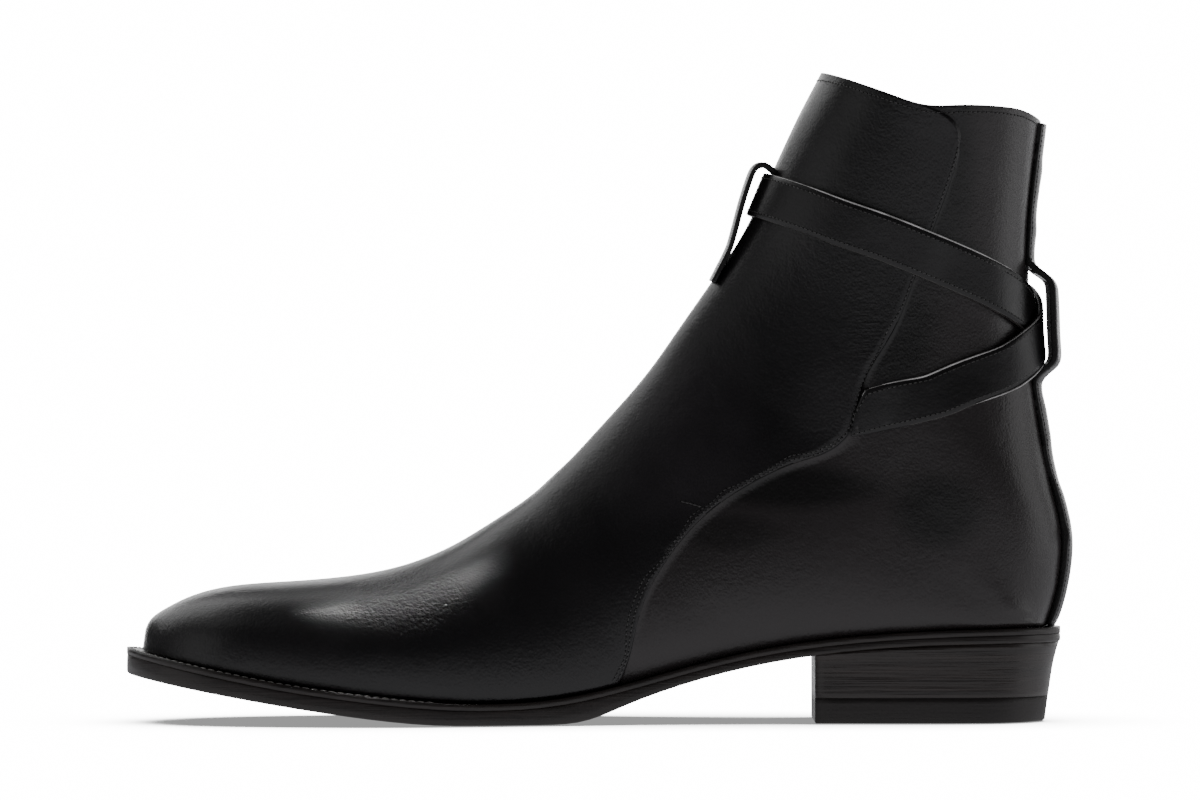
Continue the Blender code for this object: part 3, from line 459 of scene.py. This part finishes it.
# kid leather inside, the quarter's painted sheen behind the flap's edge, and a line of painted shade
# close along that edge
calf_face, lining_face, quarter_painted_sheen_face, seam_painted_shade_face = range(4)
for leather in (polished_calf, lining_kid, quarter_calf_painted_sheen, pit_and_seam_shade):
    upper.data.materials.append(leather)
seam_spots = []
seam_line = {}
for side in (1, -1):
    for one, two in flap_chains[side]:
        seam_spots += [one.lerp(two, share) for share in (0.0, 0.2, 0.4, 0.6, 0.8, 1.0)]
    ends = sorted((end.z, end.x) for pair in flap_chains[side] for end in pair)
    seam_line[side] = ([z for z, x in ends], [x for z, x in ends])
seam_tree = KDTree(len(seam_spots))
for k, spot in enumerate(seam_spots):
    seam_tree.insert(spot, k)
seam_tree.balance()
for face in upper.data.polygons:
    edge_z, edge_x = seam_line[1 if face.center.y > 0 else -1]
    if face.normal.dot(from_middle(face.center).normalized()) < -0.3:
        face.material_index = lining_face
    elif face.center.x < np.interp(face.center.z, edge_z, edge_x) - 0.1 * MM:
        close = seam_tree.find(face.center)[2] < 0.9 * MM
        face.material_index = seam_painted_shade_face if close else quarter_painted_sheen_face
    else:
        face.material_index = calf_face
upper_tree = tree_of(upper)

# a narrow lamp whose gleam lies on the inner side of the vamp, behind the toes
lamp_away = 0.9
look = Vector((0, -1, 0))
gleam, gleam_out = upper_tree.ray_cast(Vector((171.3, 100, 39.5)) * MM, look)[:2]
gleam_way = look - 2 * gleam_out * gleam_out.dot(look)
spark_data = bpy.data.lights.new("small_spark", "SPOT")
spark_data.energy = 110.0
spark_data.spot_size = math.radians(1.5)
spark_data.spot_blend = 1.0
spark_data.shadow_soft_size = 0.03
spark = bpy.data.objects.new("small_spark", spark_data)
bpy.context.scene.collection.objects.link(spark)
spark.location = gleam + gleam_way * lamp_away
spark.rotation_euler = (-gleam_way).to_track_quat("-Z", "Y").to_euler()
spark.visible_camera = False


# Stitching of the upper: waxed black thread, its lighter tone partly a painted glint, a row round the
# flap and the collar and a second row low down the seam, each stitch drawn into the leather between
# two needle pits of painted shade. A short bartack in thicker thread holds the vamp in front of the seam.
thread = surface(
    "waxed_thread_painted_glint", (0.018, 0.016, 0.017), (0.095, 0.090, 0.090), 0.32, 900,
    (("Noise", 2600, 0.00006),), coat=0.4)


def even_steps(line, step):
    """Points a fixed step apart along a line, each with the way it runs there."""
    lengths = [0.0]
    for one, two in zip(line, line[1:]):
        lengths.append(lengths[-1] + (two - one).length)
    found = []
    count = int(lengths[-1] / step)
    k = 0
    for n in range(count + 1):
        at = (n + 0.5) * lengths[-1] / (count + 1)
        while k < len(line) - 2 and lengths[k + 1] < at:
            k += 1
        share = (at - lengths[k]) / max(lengths[k + 1] - lengths[k], 1e-9)
        found.append((line[k].lerp(line[k + 1], share), (line[k + 1] - line[k]).normalized()))
    return found


def eased(line, times):
    """The same line with its corners worn round; its two ends stay."""
    line = [line[0]] + [spot for spot, way in even_steps(line, 1.5 * MM)] + [line[-1]]
    for n in range(times):
        worn = [(a + b * 2 + c) / 4 for a, b, c in zip(line, line[1:], line[2:])]
        line = [line[0]] + worn + [line[-1]]
    return line


def way_along(line, k):
    """The way a line runs at its point k."""
    return (line[min(k + 1, len(line) - 1)] - line[max(k - 1, 0)]).normalized()


def tube_faces(start, rings, sides, capped=True):
    """The faces of a tube whose rings of points follow each other from start on."""
    faces = []
    for ring in range(rings - 1):
        for k in range(sides):
            a, b = start + ring * sides + k, start + ring * sides + (k + 1) % sides
            faces.append((a, b, b + sides, a + sides))
    if capped:
        faces.append(tuple(range(start + sides - 1, start - 1, -1)))
        faces.append(tuple(range(start + (rings - 1) * sides, start + rings * sides)))
    return faces


def new_piece(name, points, faces, materials=(), paints=()):
    """A piece of points and faces; paints says which of the materials each face has."""
    mesh = bpy.data.meshes.new(name)
    mesh.from_pydata(points, [], faces)
    for material in materials:
        mesh.materials.append(material)
    if paints:
        mesh.polygons.foreach_set("material_index", paints)
    piece = bpy.data.objects.new(name, mesh)
    bpy.context.scene.collection.objects.link(piece)
    work_on(piece)
    return piece


def sew(name, lines, base, pitch=1.6, stitch=1.15, thick=0.21, yarn=thread):
    """Rows of stitches as one mesh; each line is a list of points near the base's skin."""
    points, faces, paints = [], [], []
    sides = 6
    turns = [math.tau * k / sides for k in range(sides)]
    # a stitch's rings: place as a share of its length, girth as a share of the thread's
    rings = ((-0.5, 0.25), (-0.36, 0.85), (0.0, 1.0), (0.36, 0.85), (0.5, 0.25))
    pit_reach, pit_rise = 0.26, 0.03
    for spot, way in (step for line in lines for step in even_steps(line, pitch * MM)):
        here, out = base.find_nearest(spot)[:2]
        if (spot - here).dot(out) < -0.0001:
            out = -out
        way = (way - out * way.dot(out)).normalized()
        side = out.cross(way)
        start = len(points)
        for share, girth in rings:
            rise = out * (0.10 - 0.5 * abs(share) ** 2) * MM
            for turn in turns:
                points.append(here + way * share * stitch * MM + rise + girth * thick * MM
                              * (side * math.cos(turn) + out * math.sin(turn) * 0.75))
        rod = tube_faces(start, len(rings), sides)
        faces += rod
        paints += [0] * len(rod)
        # a flat dark disc of painted shade for the needle pit ahead of the stitch
        start = len(points)
        for turn in turns:
            flat = (way * (pitch / 2 + pit_reach * math.cos(turn)) * MM
                    + side * pit_reach * math.sin(turn) * MM)
            points.append(here + flat + out * pit_rise * MM)
        faces.append(tuple(range(start, start + sides)))
        paints.append(1)
    row = new_piece(name, points, faces, (yarn, pit_and_seam_shade), paints)
    bpy.ops.object.shade_smooth()
    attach(row, "root")


def key_of(spot):
    """A point's place in thousandths of a millimetre, to find the same point again."""
    return tuple(round(c * 1e6) for c in spot)


def chained(pairs):
    """One line of points out of loose edges, lowest end first."""
    joins = {}
    for one, two in pairs:
        joins.setdefault(key_of(one), [one, []])[1].append(key_of(two))
        joins.setdefault(key_of(two), [two, []])[1].append(key_of(one))
    ends = [key for key in joins if len(joins[key][1]) == 1]
    best = []
    for first in ends:
        line, here, before = [joins[first][0]], first, None
        while True:
            onward = [key for key in joins[here][1] if key != before]
            if not onward:
                break
            before, here = here, onward[0]
            line.append(joins[here][0])
        if len(line) > len(best):
            best = line
    return best if best and best[0].z < best[-1].z else best[::-1]


def beside(line, away, base, toward):
    """A line moved sideways over the base's skin; toward picks the side at its first point."""
    moved, sign = [], 0
    for k, spot in enumerate(line):
        out = base.find_nearest(spot)[1]
        if out.dot(from_middle(spot)) < 0:
            out = -out
        side = out.cross(way_along(line, k)).normalized()
        if not sign:
            sign = 1 if side.dot(toward) > 0 else -1
        moved.append(base.find_nearest(spot + side * sign * away * MM + out * 0.5 * MM)[0])
    return eased(moved, 10)


first_row, second_row = 1.6, 3.2
second_row_top = 0.095
onto_flap = Vector((0.8, 0.0, 0.6))
flap_rows = []
for side in (1, -1):
    edge_line = eased(chained(flap_chains[side]), 4)
    low_edge = [spot for spot in edge_line if spot.z < second_row_top]
    flap_rows.append(beside(edge_line, first_row, upper_tree, onto_flap))
    flap_rows.append(beside(low_edge, second_row, upper_tree, onto_flap))
sew("flap_stitching", flap_rows, upper_tree)

shaft_middle = Vector((11.0 * MM, 0.0, 0.0))
look_from = 0.1
collar_top = 0.2165


def rim_height(way):
    """Height of the collar's rim on this side of the shaft."""
    for k in range(200):
        z = collar_top - 0.00025 * k
        hit = upper_tree.ray_cast(shaft_middle + way * look_from + Vector((0, 0, z)), -way)
        if hit[0] is not None and hit[3] < look_from - 0.003:
            return z
    return 0.18


collar_row = []
for k in range(121):
    turn = math.tau * k / 120
    way = Vector((math.cos(turn), math.sin(turn), 0.0))
    start = shaft_middle + way * look_from + Vector((0, 0, rim_height(way) - 2.3 * MM))
    collar_row.append(upper_tree.ray_cast(start, -way)[0])
sew("collar_stitching", [collar_row], upper_tree)
bartack = [[upper_tree.ray_cast(Vector((x * MM, side * look_from, z * MM)), Vector((0, -side, 0)))[0]
            for x, z in ((75.8, 70.6), (79.0, 71.6), (82.2, 72.4))] for side in (1, -1)]
sew("seam_bartack", bartack, upper_tree, pitch=1.5, stitch=1.4, thick=0.32)


# Straps, loops and back strip: strips of the same calf folded double, edges dyed and burnished, a
# row of stitches along each side; the loops' inner sides are rough suede. The straps' edges are partly
# a painted glint: paler than burnish alone and palest on top. The strap's end is sewn down at the
# flap's edge, and a pale bead of painted glint runs along its edges on the inner side.
strap_calf = surface(
    "strap_calf", (0.0045, 0.0038, 0.0043), (0.0090, 0.0075, 0.0085), 0.38, 55,
    (("Noise", 60, 0.0003), ("Noise", 560, 0.00006), ("Voronoi", 1700, 0.00003)),
    coat=0.25, coat_rough=0.2)
# the straps' burnished side edges, their paler tone partly a painted glint
burnished_edge_painted_glint = surface(
    "burnished_edge_painted_glint", (0.030, 0.027, 0.026), (0.075, 0.070, 0.066), 0.26, 200,
    (("Noise", 900, 0.00005),), coat=0.6, coat_rough=0.12)
# a pale painted glint for the straps' rounded top edges and the beads along them
painted_glint_edge = surface(
    "top_edge_painted_glint", (0.42, 0.41, 0.40), (0.88, 0.86, 0.85), 0.22, 160,
    (("Noise", 900, 0.00005),), coat=0.8, coat_rough=0.1)
cut_edge = surface(
    "dyed_cut_edge", (0.006, 0.005, 0.005), (0.020, 0.018, 0.018), 0.7, 1200,
    (("Noise", 1800, 0.0002),))
suede = surface(
    "loop_suede", (0.020, 0.018, 0.018), (0.16, 0.155, 0.15), 0.95, 1900,
    (("Noise", 1500, 0.00035), ("Noise", 3200, 0.0002)))


def rails(piece):
    """The two long edges of a strip's outer face, each as a line of points, matched in order."""
    shape = bmesh.new()
    shape.from_mesh(piece.data)
    joins = {}
    for edge in shape.edges:
        if len(edge.link_faces) == 2 and edge.calc_face_angle(0.0) > math.radians(50):
            one, two = edge.verts
            joins.setdefault(one.index, []).append(two.index)
            joins.setdefault(two.index, []).append(one.index)
    places = {corner.index: corner.co.copy() for corner in shape.verts}
    shape.free()
    corners = [key for key in joins if len(joins[key]) >= 3]
    found = {}
    for first in corners:
        for second in joins[first]:
            line, before, here = [first, second], first, second
            while here not in corners and len(line) < 400:
                onward = [key for key in joins[here] if key != before]
                if len(onward) != 1:
                    break
                before, here = here, onward[0]
                line.append(here)
            if len(line) >= 5:
                found.setdefault(tuple(sorted((line[0], line[-1]))), [places[key] for key in line])
    lines = list(found.values())

    def away(line):
        return sum(upper_tree.find_nearest(spot)[3] for spot in line) / len(line)

    lines.sort(key=lambda line: (-len(line), -away(line)))
    lines = [line for line in lines if len(line) > 0.6 * len(lines[0])]
    lines.sort(key=away, reverse=True)
    one, two = lines[:2]
    if (one[0] - two[0]).length > (one[0] - two[-1]).length:
        two = two[::-1]
    return one, two


def drawn_in(one, two, inset):
    """Two lines lying inside a strip's outer edges, a given way in from each."""
    count = min(len(one), len(two))
    pairs = [[rail[round(k * (len(rail) - 1) / (count - 1))] for rail in (one, two)]
             for k in range(count)]
    middle = pairs[count // 2]
    share = inset * MM / (middle[0] - middle[1]).length
    return ([a.lerp(b, share) for a, b in pairs], [b.lerp(a, share) for a, b in pairs])


def faced_out(piece):
    """Turns the faces of the selected piece outwards."""
    bpy.ops.object.mode_set(mode="EDIT")
    bpy.ops.mesh.select_all(action="SELECT")
    bpy.ops.mesh.normals_make_consistent(inside=False)
    bpy.ops.object.mode_set(mode="OBJECT")


# the front loop's run as seen from the side, from its hooked top down to its point: x, z
loop_run = ((50.6, 179.9), (52.6, 181.9), (55.0, 183.9), (57.5, 183.6), (59.5, 181.8), (61.6, 176.0),
            (63.6, 169.5), (65.4, 162.5), (67.3, 155.5), (70.2, 149.9), (72.9, 144.6))


def bent_strip(name, run, width, thick, round_about):
    """A leather strip bent along a run in the side view, hollowed across to lie on the shaft."""
    line = eased([Vector((x * MM, 0.0, z * MM)) for x, z in run], 2)
    hook_end = 5
    across = 7
    total = across * len(line)
    points = []
    for layer in (0, 1):
        for k, spot in enumerate(line):
            way = way_along(line, k)
            inward = Vector((way.z, 0.0, -way.x))
            if k > hook_end and inward.x > 0:
                inward = -inward
            for c in range(across):
                y = (c / (across - 1) - 0.5) * width * MM
                sag = y * y / (2 * round_about * MM)
                points.append(spot + inward * thick * MM * layer + Vector((-sag, y, -0.3 * sag)))
    faces = []
    for k in range(len(line) - 1):
        for c in range(across - 1):
            a = k * across + c
            faces.append((a, a + 1, a + across + 1, a + across))
            faces.append((total + a, total + a + across, total + a + across + 1, total + a + 1))
        for c in (0, across - 1):
            a = k * across + c
            faces.append((a, a + across, total + a + across, total + a))
    for k in (0, len(line) - 1):
        for c in range(across - 1):
            a = k * across + c
            faces.append((a, a + 1, total + a + 1, total + a))
    strip = new_piece(name, points, faces)
    faced_out(strip)
    return strip


def loop_shaped(piece):
    """Sets the back strip nearer the shaft, and its loop further out with its two ends drawn in."""
    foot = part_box("backstay")[0].z
    for corner in piece.data.vertices:
        stand = upper_tree.find_nearest(corner.co)[3] - 2.6 * MM
        if stand > 0:
            corner.co.x -= 0.9 * MM * min(1.0, stand / (3 * MM))
        else:
            corner.co.x += 0.42 * MM
        # the loop's upper and lower end: height, reach and shift in mm
        for height, half, shift in ((150.5, 14.0, -3.0), (111.4, 10.0, 2.2)):
            near = min(1.0, abs(corner.co.z / MM - height) / half)
            corner.co.z += shift * MM * 0.5 * (1 + math.cos(math.pi * near))
        # the strip's foot is let down a little
        corner.co.z -= 0.8 * MM * max(0.0, 1 - (corner.co.z - foot) / (3 * MM))


def drawn_to_flap(piece):
    """Draws the strap's sewn end on the inner side forward to the moved edge of the flap."""
    for corner in piece.data.vertices:
        if corner.co.y > 0 and corner.co.z < 120 * MM and corner.co.x > -6 * MM:
            along = max(0.0, min(1.0, (corner.co.x / MM + 5.5) / 23))
            low = max(0.0, min(1.0, (108.5 - corner.co.z / MM) / 15))
            corner.co = slid(corner.co.copy(), along * along * (3.8 + 5.6 * low) * MM)


def border_pulled_in(piece, pair):
    """Pulls the outer corners of the back strip's borders in to the skin, save along its loop."""
    border = {key_of(spot) for line in pair for spot in line}
    for corner in piece.data.vertices:
        here, out, index, away = upper_tree.find_nearest(corner.co)
        if key_of(corner.co) in border and away < 3.0 * MM:
            corner.co += (here - corner.co).normalized() * 0.9 * MM


def laid_on_skin(piece):
    """Lays on the leather what the back strip has closest to it."""
    for corner in piece.data.vertices:
        here, out, index, away = upper_tree.find_nearest(corner.co)
        if away < 0.8 * MM:
            corner.co = here + out * 0.1 * MM


strip_rails = {}
for node, name, leather, slot, suede_inside, corner_angle in (
        ("strap", "long_strap", strap_calf, "strap_calf", False, 42.0),
        ("buckle_strap", "buckle_root", strap_calf, "strap_calf", False, 42.0),
        ("front_loop", "front_strap_loop", strap_calf, "strap_calf", True, 42.0),
        ("backstay", "back_strip", polished_calf, "calf", True, 65.0)):
    if node == "front_loop":
        piece = bent_strip(name, loop_run, 16.0, 1.5, 33.0)
        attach(piece, "root")
        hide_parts(node)
    else:
        piece = clean_copy(node, name)
    if node == "strap":
        drawn_to_flap(piece)
    if node == "backstay":
        loop_shaped(piece)
    pair = strip_rails[node] = rails(piece)
    if node == "backstay":
        border_pulled_in(piece, pair)
    smooth_out(piece, 2, 0.72 if suede_inside else 0.5, corner_angle)
    if node == "backstay":
        laid_on_skin(piece)
    # straps: burnished side edges, partly a painted glint, and a pale painted glint on their top edges
    edge_finish_and_glint = (cut_edge, suede) if suede_inside else (burnished_edge_painted_glint, painted_glint_edge)
    for material in (leather, *edge_finish_and_glint):
        piece.data.materials.append(material)
    for face in piece.data.polygons:
        here, out = upper_tree.find_nearest(face.center)[:2]
        lean = face.normal.dot(out)
        inward = here - face.center
        if abs(lean) < 0.5:
            face.material_index = 1
        if suede_inside:
            if inward.length > 1.2 * MM and face.normal.dot(inward.normalized()) > 0.6:
                face.material_index = 2
        elif 0.1 < lean < 0.93 and face.normal.z > 0.2:
            face.material_index = 2
    sew(name + "_stitching", drawn_in(*pair, 1.8), tree_of(piece),
        pitch=1.7, stitch=1.2, thick=0.2)


def beaded(name, line, thick, bead_glint):
    """A fine bead along a line of points, round in section, drawn out at both ends."""
    line = eased(line, 3)
    sides = 6
    points = []
    for k, spot in enumerate(line):
        way = way_along(line, k)
        side = way.cross(Vector((0, 0, 1))).normalized()
        up = side.cross(way)
        girth = thick * MM * math.sin(math.pi * (k + 0.6) / (len(line) + 0.2)) ** 0.5
        for c in range(sides):
            turn = math.tau * c / sides
            points.append(spot + girth * (side * math.cos(turn) + up * math.sin(turn)))
    piece = new_piece(name, points, tube_faces(0, len(line), sides), (bead_glint,))
    faced_out(piece)
    bpy.ops.object.shade_smooth()
    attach(piece, "root")


# the beads of painted glint: name, upper (0) or lower (1) edge of the strap, lowest and highest z, and
# the hindmost and foremost x of its run in mm
strap_pairs = [(a, b) if a.z > b.z else (b, a) for a, b in zip(*drawn_in(*strip_rails["strap"], 0.12))]
for name, row, low, high, back, front in (
        ("upper_run_painted_glint", 0, 140, 190, -26, 47),
        ("lower_run_painted_glint", 0, 95, 132, -24, 22),
        ("lower_run_under_painted_glint", 1, 85, 125, -40, -10)):
    run = [pair[row] for pair in strap_pairs if pair[row].y > 5 * MM
           and low < pair[row].z / MM < high and back < pair[row].x / MM < front]
    beaded(name, run, 0.30, painted_glint_edge)

keeper = clean_copy("strap_keeper", "strap_keeper_loop")
smooth_out(keeper, 3, 0.55)
keeper.data.materials.append(strap_calf)


# Buckle: a bent frame and its pin, of brushed and plated metal, rounded all over. It is held by the
# buckle strap on the outer side, and its pin rests on the frame's far bar.
nickel = surface(
    "brushed_nickel", (0.52, 0.51, 0.49), (0.60, 0.59, 0.57), 0.27, 300,
    (("Noise", (2400, 2400, 240), 0.00003), ("Noise", 600, 0.00001)), metal=1.0)
for node, name in (("buckle_frame", "buckle_rim"), ("buckle_pin", "buckle_tongue")):
    piece = clean_copy(node, name)
    smooth_out(piece, 2, 0.0, 80.0)
    piece.data.materials.append(nickel)


# Holes of the strap: three, punched in a row along the middle of its end. Each is a rim pressed
# up a little from the calf, turned in to a small dark pit, a flat disc of painted shade.
hole_step = 5.5
hole_sides = 20
# a hole's rings: radius and rise over the strap in mm
hole_rings = ((1.45, 0.00), (1.20, 0.10), (0.95, 0.04), (0.80, 0.03))
one, two = strip_rails["strap"]
if upper_tree.find_nearest(one[0])[0].y > upper_tree.find_nearest(one[-1])[0].y:
    one, two = one[::-1], two[::-1]
strap_tree = tree_of(bpy.data.objects["long_strap"])
middle_line = [a.lerp(b, 0.5) for a, b in zip(one, two)]
hole_points, hole_faces, hole_paints = [], [], []
for spot, way in even_steps(middle_line, hole_step * MM)[1:4]:
    above = spot + upper_tree.find_nearest(spot)[1] * 0.002
    here, out = strap_tree.find_nearest(above)[:2]
    side = out.cross(way).normalized()
    start = len(hole_points)
    for radius, rise in hole_rings:
        for k in range(hole_sides):
            turn = math.tau * k / hole_sides
            flat = way * math.cos(turn) + side * math.sin(turn)
            hole_points.append(here + flat * radius * MM + out * rise * MM)
    rim_faces = tube_faces(start, len(hole_rings), hole_sides, capped=False)
    hole_faces += rim_faces + [tuple(range(len(hole_points) - hole_sides, len(hole_points)))]
    hole_paints += [0] * len(rim_faces) + [1]
holes = new_piece("strap_holes", hole_points, hole_faces, (strap_calf, pit_and_seam_shade), hole_paints)
bpy.ops.object.shade_smooth()
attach(holes, "root")


# Welt and outsole: oak-bark leather, its edge inked black and waxed, with fine marks of the edge
# iron running along it and the underside dyed dark and flat. The welt is sewn to the outsole with
# a row of pale stitches that shows from the heel breast to the toe.
sole_edge = surface(
    "inked_sole_edge", (0.015, 0.0115, 0.0105), (0.030, 0.023, 0.021), 0.40, (60, 60, 900),
    (("Noise", (40, 40, 2600), 0.00010), ("Noise", 700, 0.00004)), coat=0.18, coat_rough=0.25)
sole_under = surface(
    "dyed_sole_underside", (0.012, 0.0095, 0.008), (0.026, 0.020, 0.016), 0.55, (25, 60, 60),
    (("Noise", (500, 900, 900), 0.00008), ("Voronoi", 1500, 0.00003)))
welt_thread = surface(
    "welt_thread", (0.34, 0.33, 0.31), (0.60, 0.58, 0.55), 0.42, 700,
    (("Noise", 2200, 0.00008),), coat=0.4)
welt = clean_copy("welt", "sewn_welt")
smooth_out(welt, 1, 1.0, 30.0)
welt.data.materials.append(sole_edge)

# the stitches run a little inside the upper corner of the welt's edge, from the shank forward
stitches_back = 40
stitches_inset = 1.3
welt_tree = tree_of(welt)
welt_edges = []
welt_shape = bmesh.new()
welt_shape.from_mesh(bpy.data.objects["welt"].data)
bmesh.ops.remove_doubles(welt_shape, verts=welt_shape.verts, dist=same_place)
for edge in welt_shape.edges:
    one, two = (corner.co.copy() for corner in edge.verts)
    centre = (one + two) / 2
    leans = sorted(face.normal.z for face in edge.link_faces)
    if len(leans) == 2 and leans[1] > 0.8 and abs(leans[0]) < 0.5 and centre.x > stitches_back * MM:
        out = sum((face.normal for face in edge.link_faces), Vector())
        if from_middle(centre).normalized().dot(out) > 0.3:
            welt_edges.append((one, two))
welt_shape.free()
welt_line = chained(welt_edges)
welt_row = []
for k, spot in enumerate(welt_line):
    way = way_along(welt_line, k)
    inward = Vector((-way.y, way.x, 0.0)).normalized()
    if inward.dot(from_middle(spot)) > 0:
        inward = -inward
    above = spot + inward * stitches_inset * MM + Vector((0, 0, 0.01))
    hit = welt_tree.ray_cast(above, Vector((0, 0, -1)))[0]
    if hit is not None:
        welt_row.append(hit)
sew("welt_stitching", [welt_row], welt_tree, pitch=2.9, stitch=2.2, thick=0.32,
    yarn=welt_thread)


def top_raised(piece):
    """Raises a layer's top by most of the frame's clearance, to close on the layer above."""
    for corner in piece.data.vertices:
        if corner.normal.z > 0.2:
            corner.co.z += 0.28 * MM


outsole = clean_copy("outsole", "leather_outsole")
top_raised(outsole)
smooth_out(outsole, 1, 1.0, 30.0)
outsole.data.materials.append(sole_edge)
outsole.data.materials.append(sole_under)
for face in outsole.data.polygons:
    if face.normal.z < -0.8:
        face.material_index = 1


# Heel: leather lifts glued and nailed in a stack, inked and burnished so that their joints show as
# fine dark lines, over a top lift of black rubber that meets the floor.
heel_stack_leather = surface(
    "stacked_heel_leather", (0.016, 0.012, 0.011), (0.038, 0.029, 0.026), 0.34, (18, 18, 520),
    (("Noise", (25, 25, 1500), 0.00022), ("Noise", (30, 30, 420), 0.00030), ("Noise", 800, 0.00004)),
    coat=0.22, coat_rough=0.22)
top_lift_rubber = surface(
    "top_lift_rubber", (0.018, 0.015, 0.0145), (0.028, 0.0235, 0.0225), 0.5, 60,
    (("Noise", 1200, 0.00006), ("Noise", (60, 60, 1600), 0.00008)))
for node, name, layer_finish, slot in (
        ("heel_stack", "stacked_heel", heel_stack_leather, "stack"),
        ("top_lift", "rubber_top_lift", top_lift_rubber, "rubber")):
    piece = clean_copy(node, name)
    top_raised(piece)
    smooth_out(piece, 2, 1.0, 35.0)
    piece.data.materials.append(layer_finish)


# Insole: natural vegetable-tanned leather, cut to the last's bottom and laid in the upper. It is
# seen through the collar alone.
insole_leather = surface(
    "insole_leather", (0.30, 0.18, 0.095), (0.42, 0.27, 0.16), 0.6, 40,
    (("Noise", 420, 0.0001), ("Voronoi", 1500, 0.00003)), coat=0.1, coat_rough=0.4)
insole = clean_copy("insole", "leather_insole")
smooth_out(insole, 1, 0.9)
insole.data.materials.append(insole_leather)
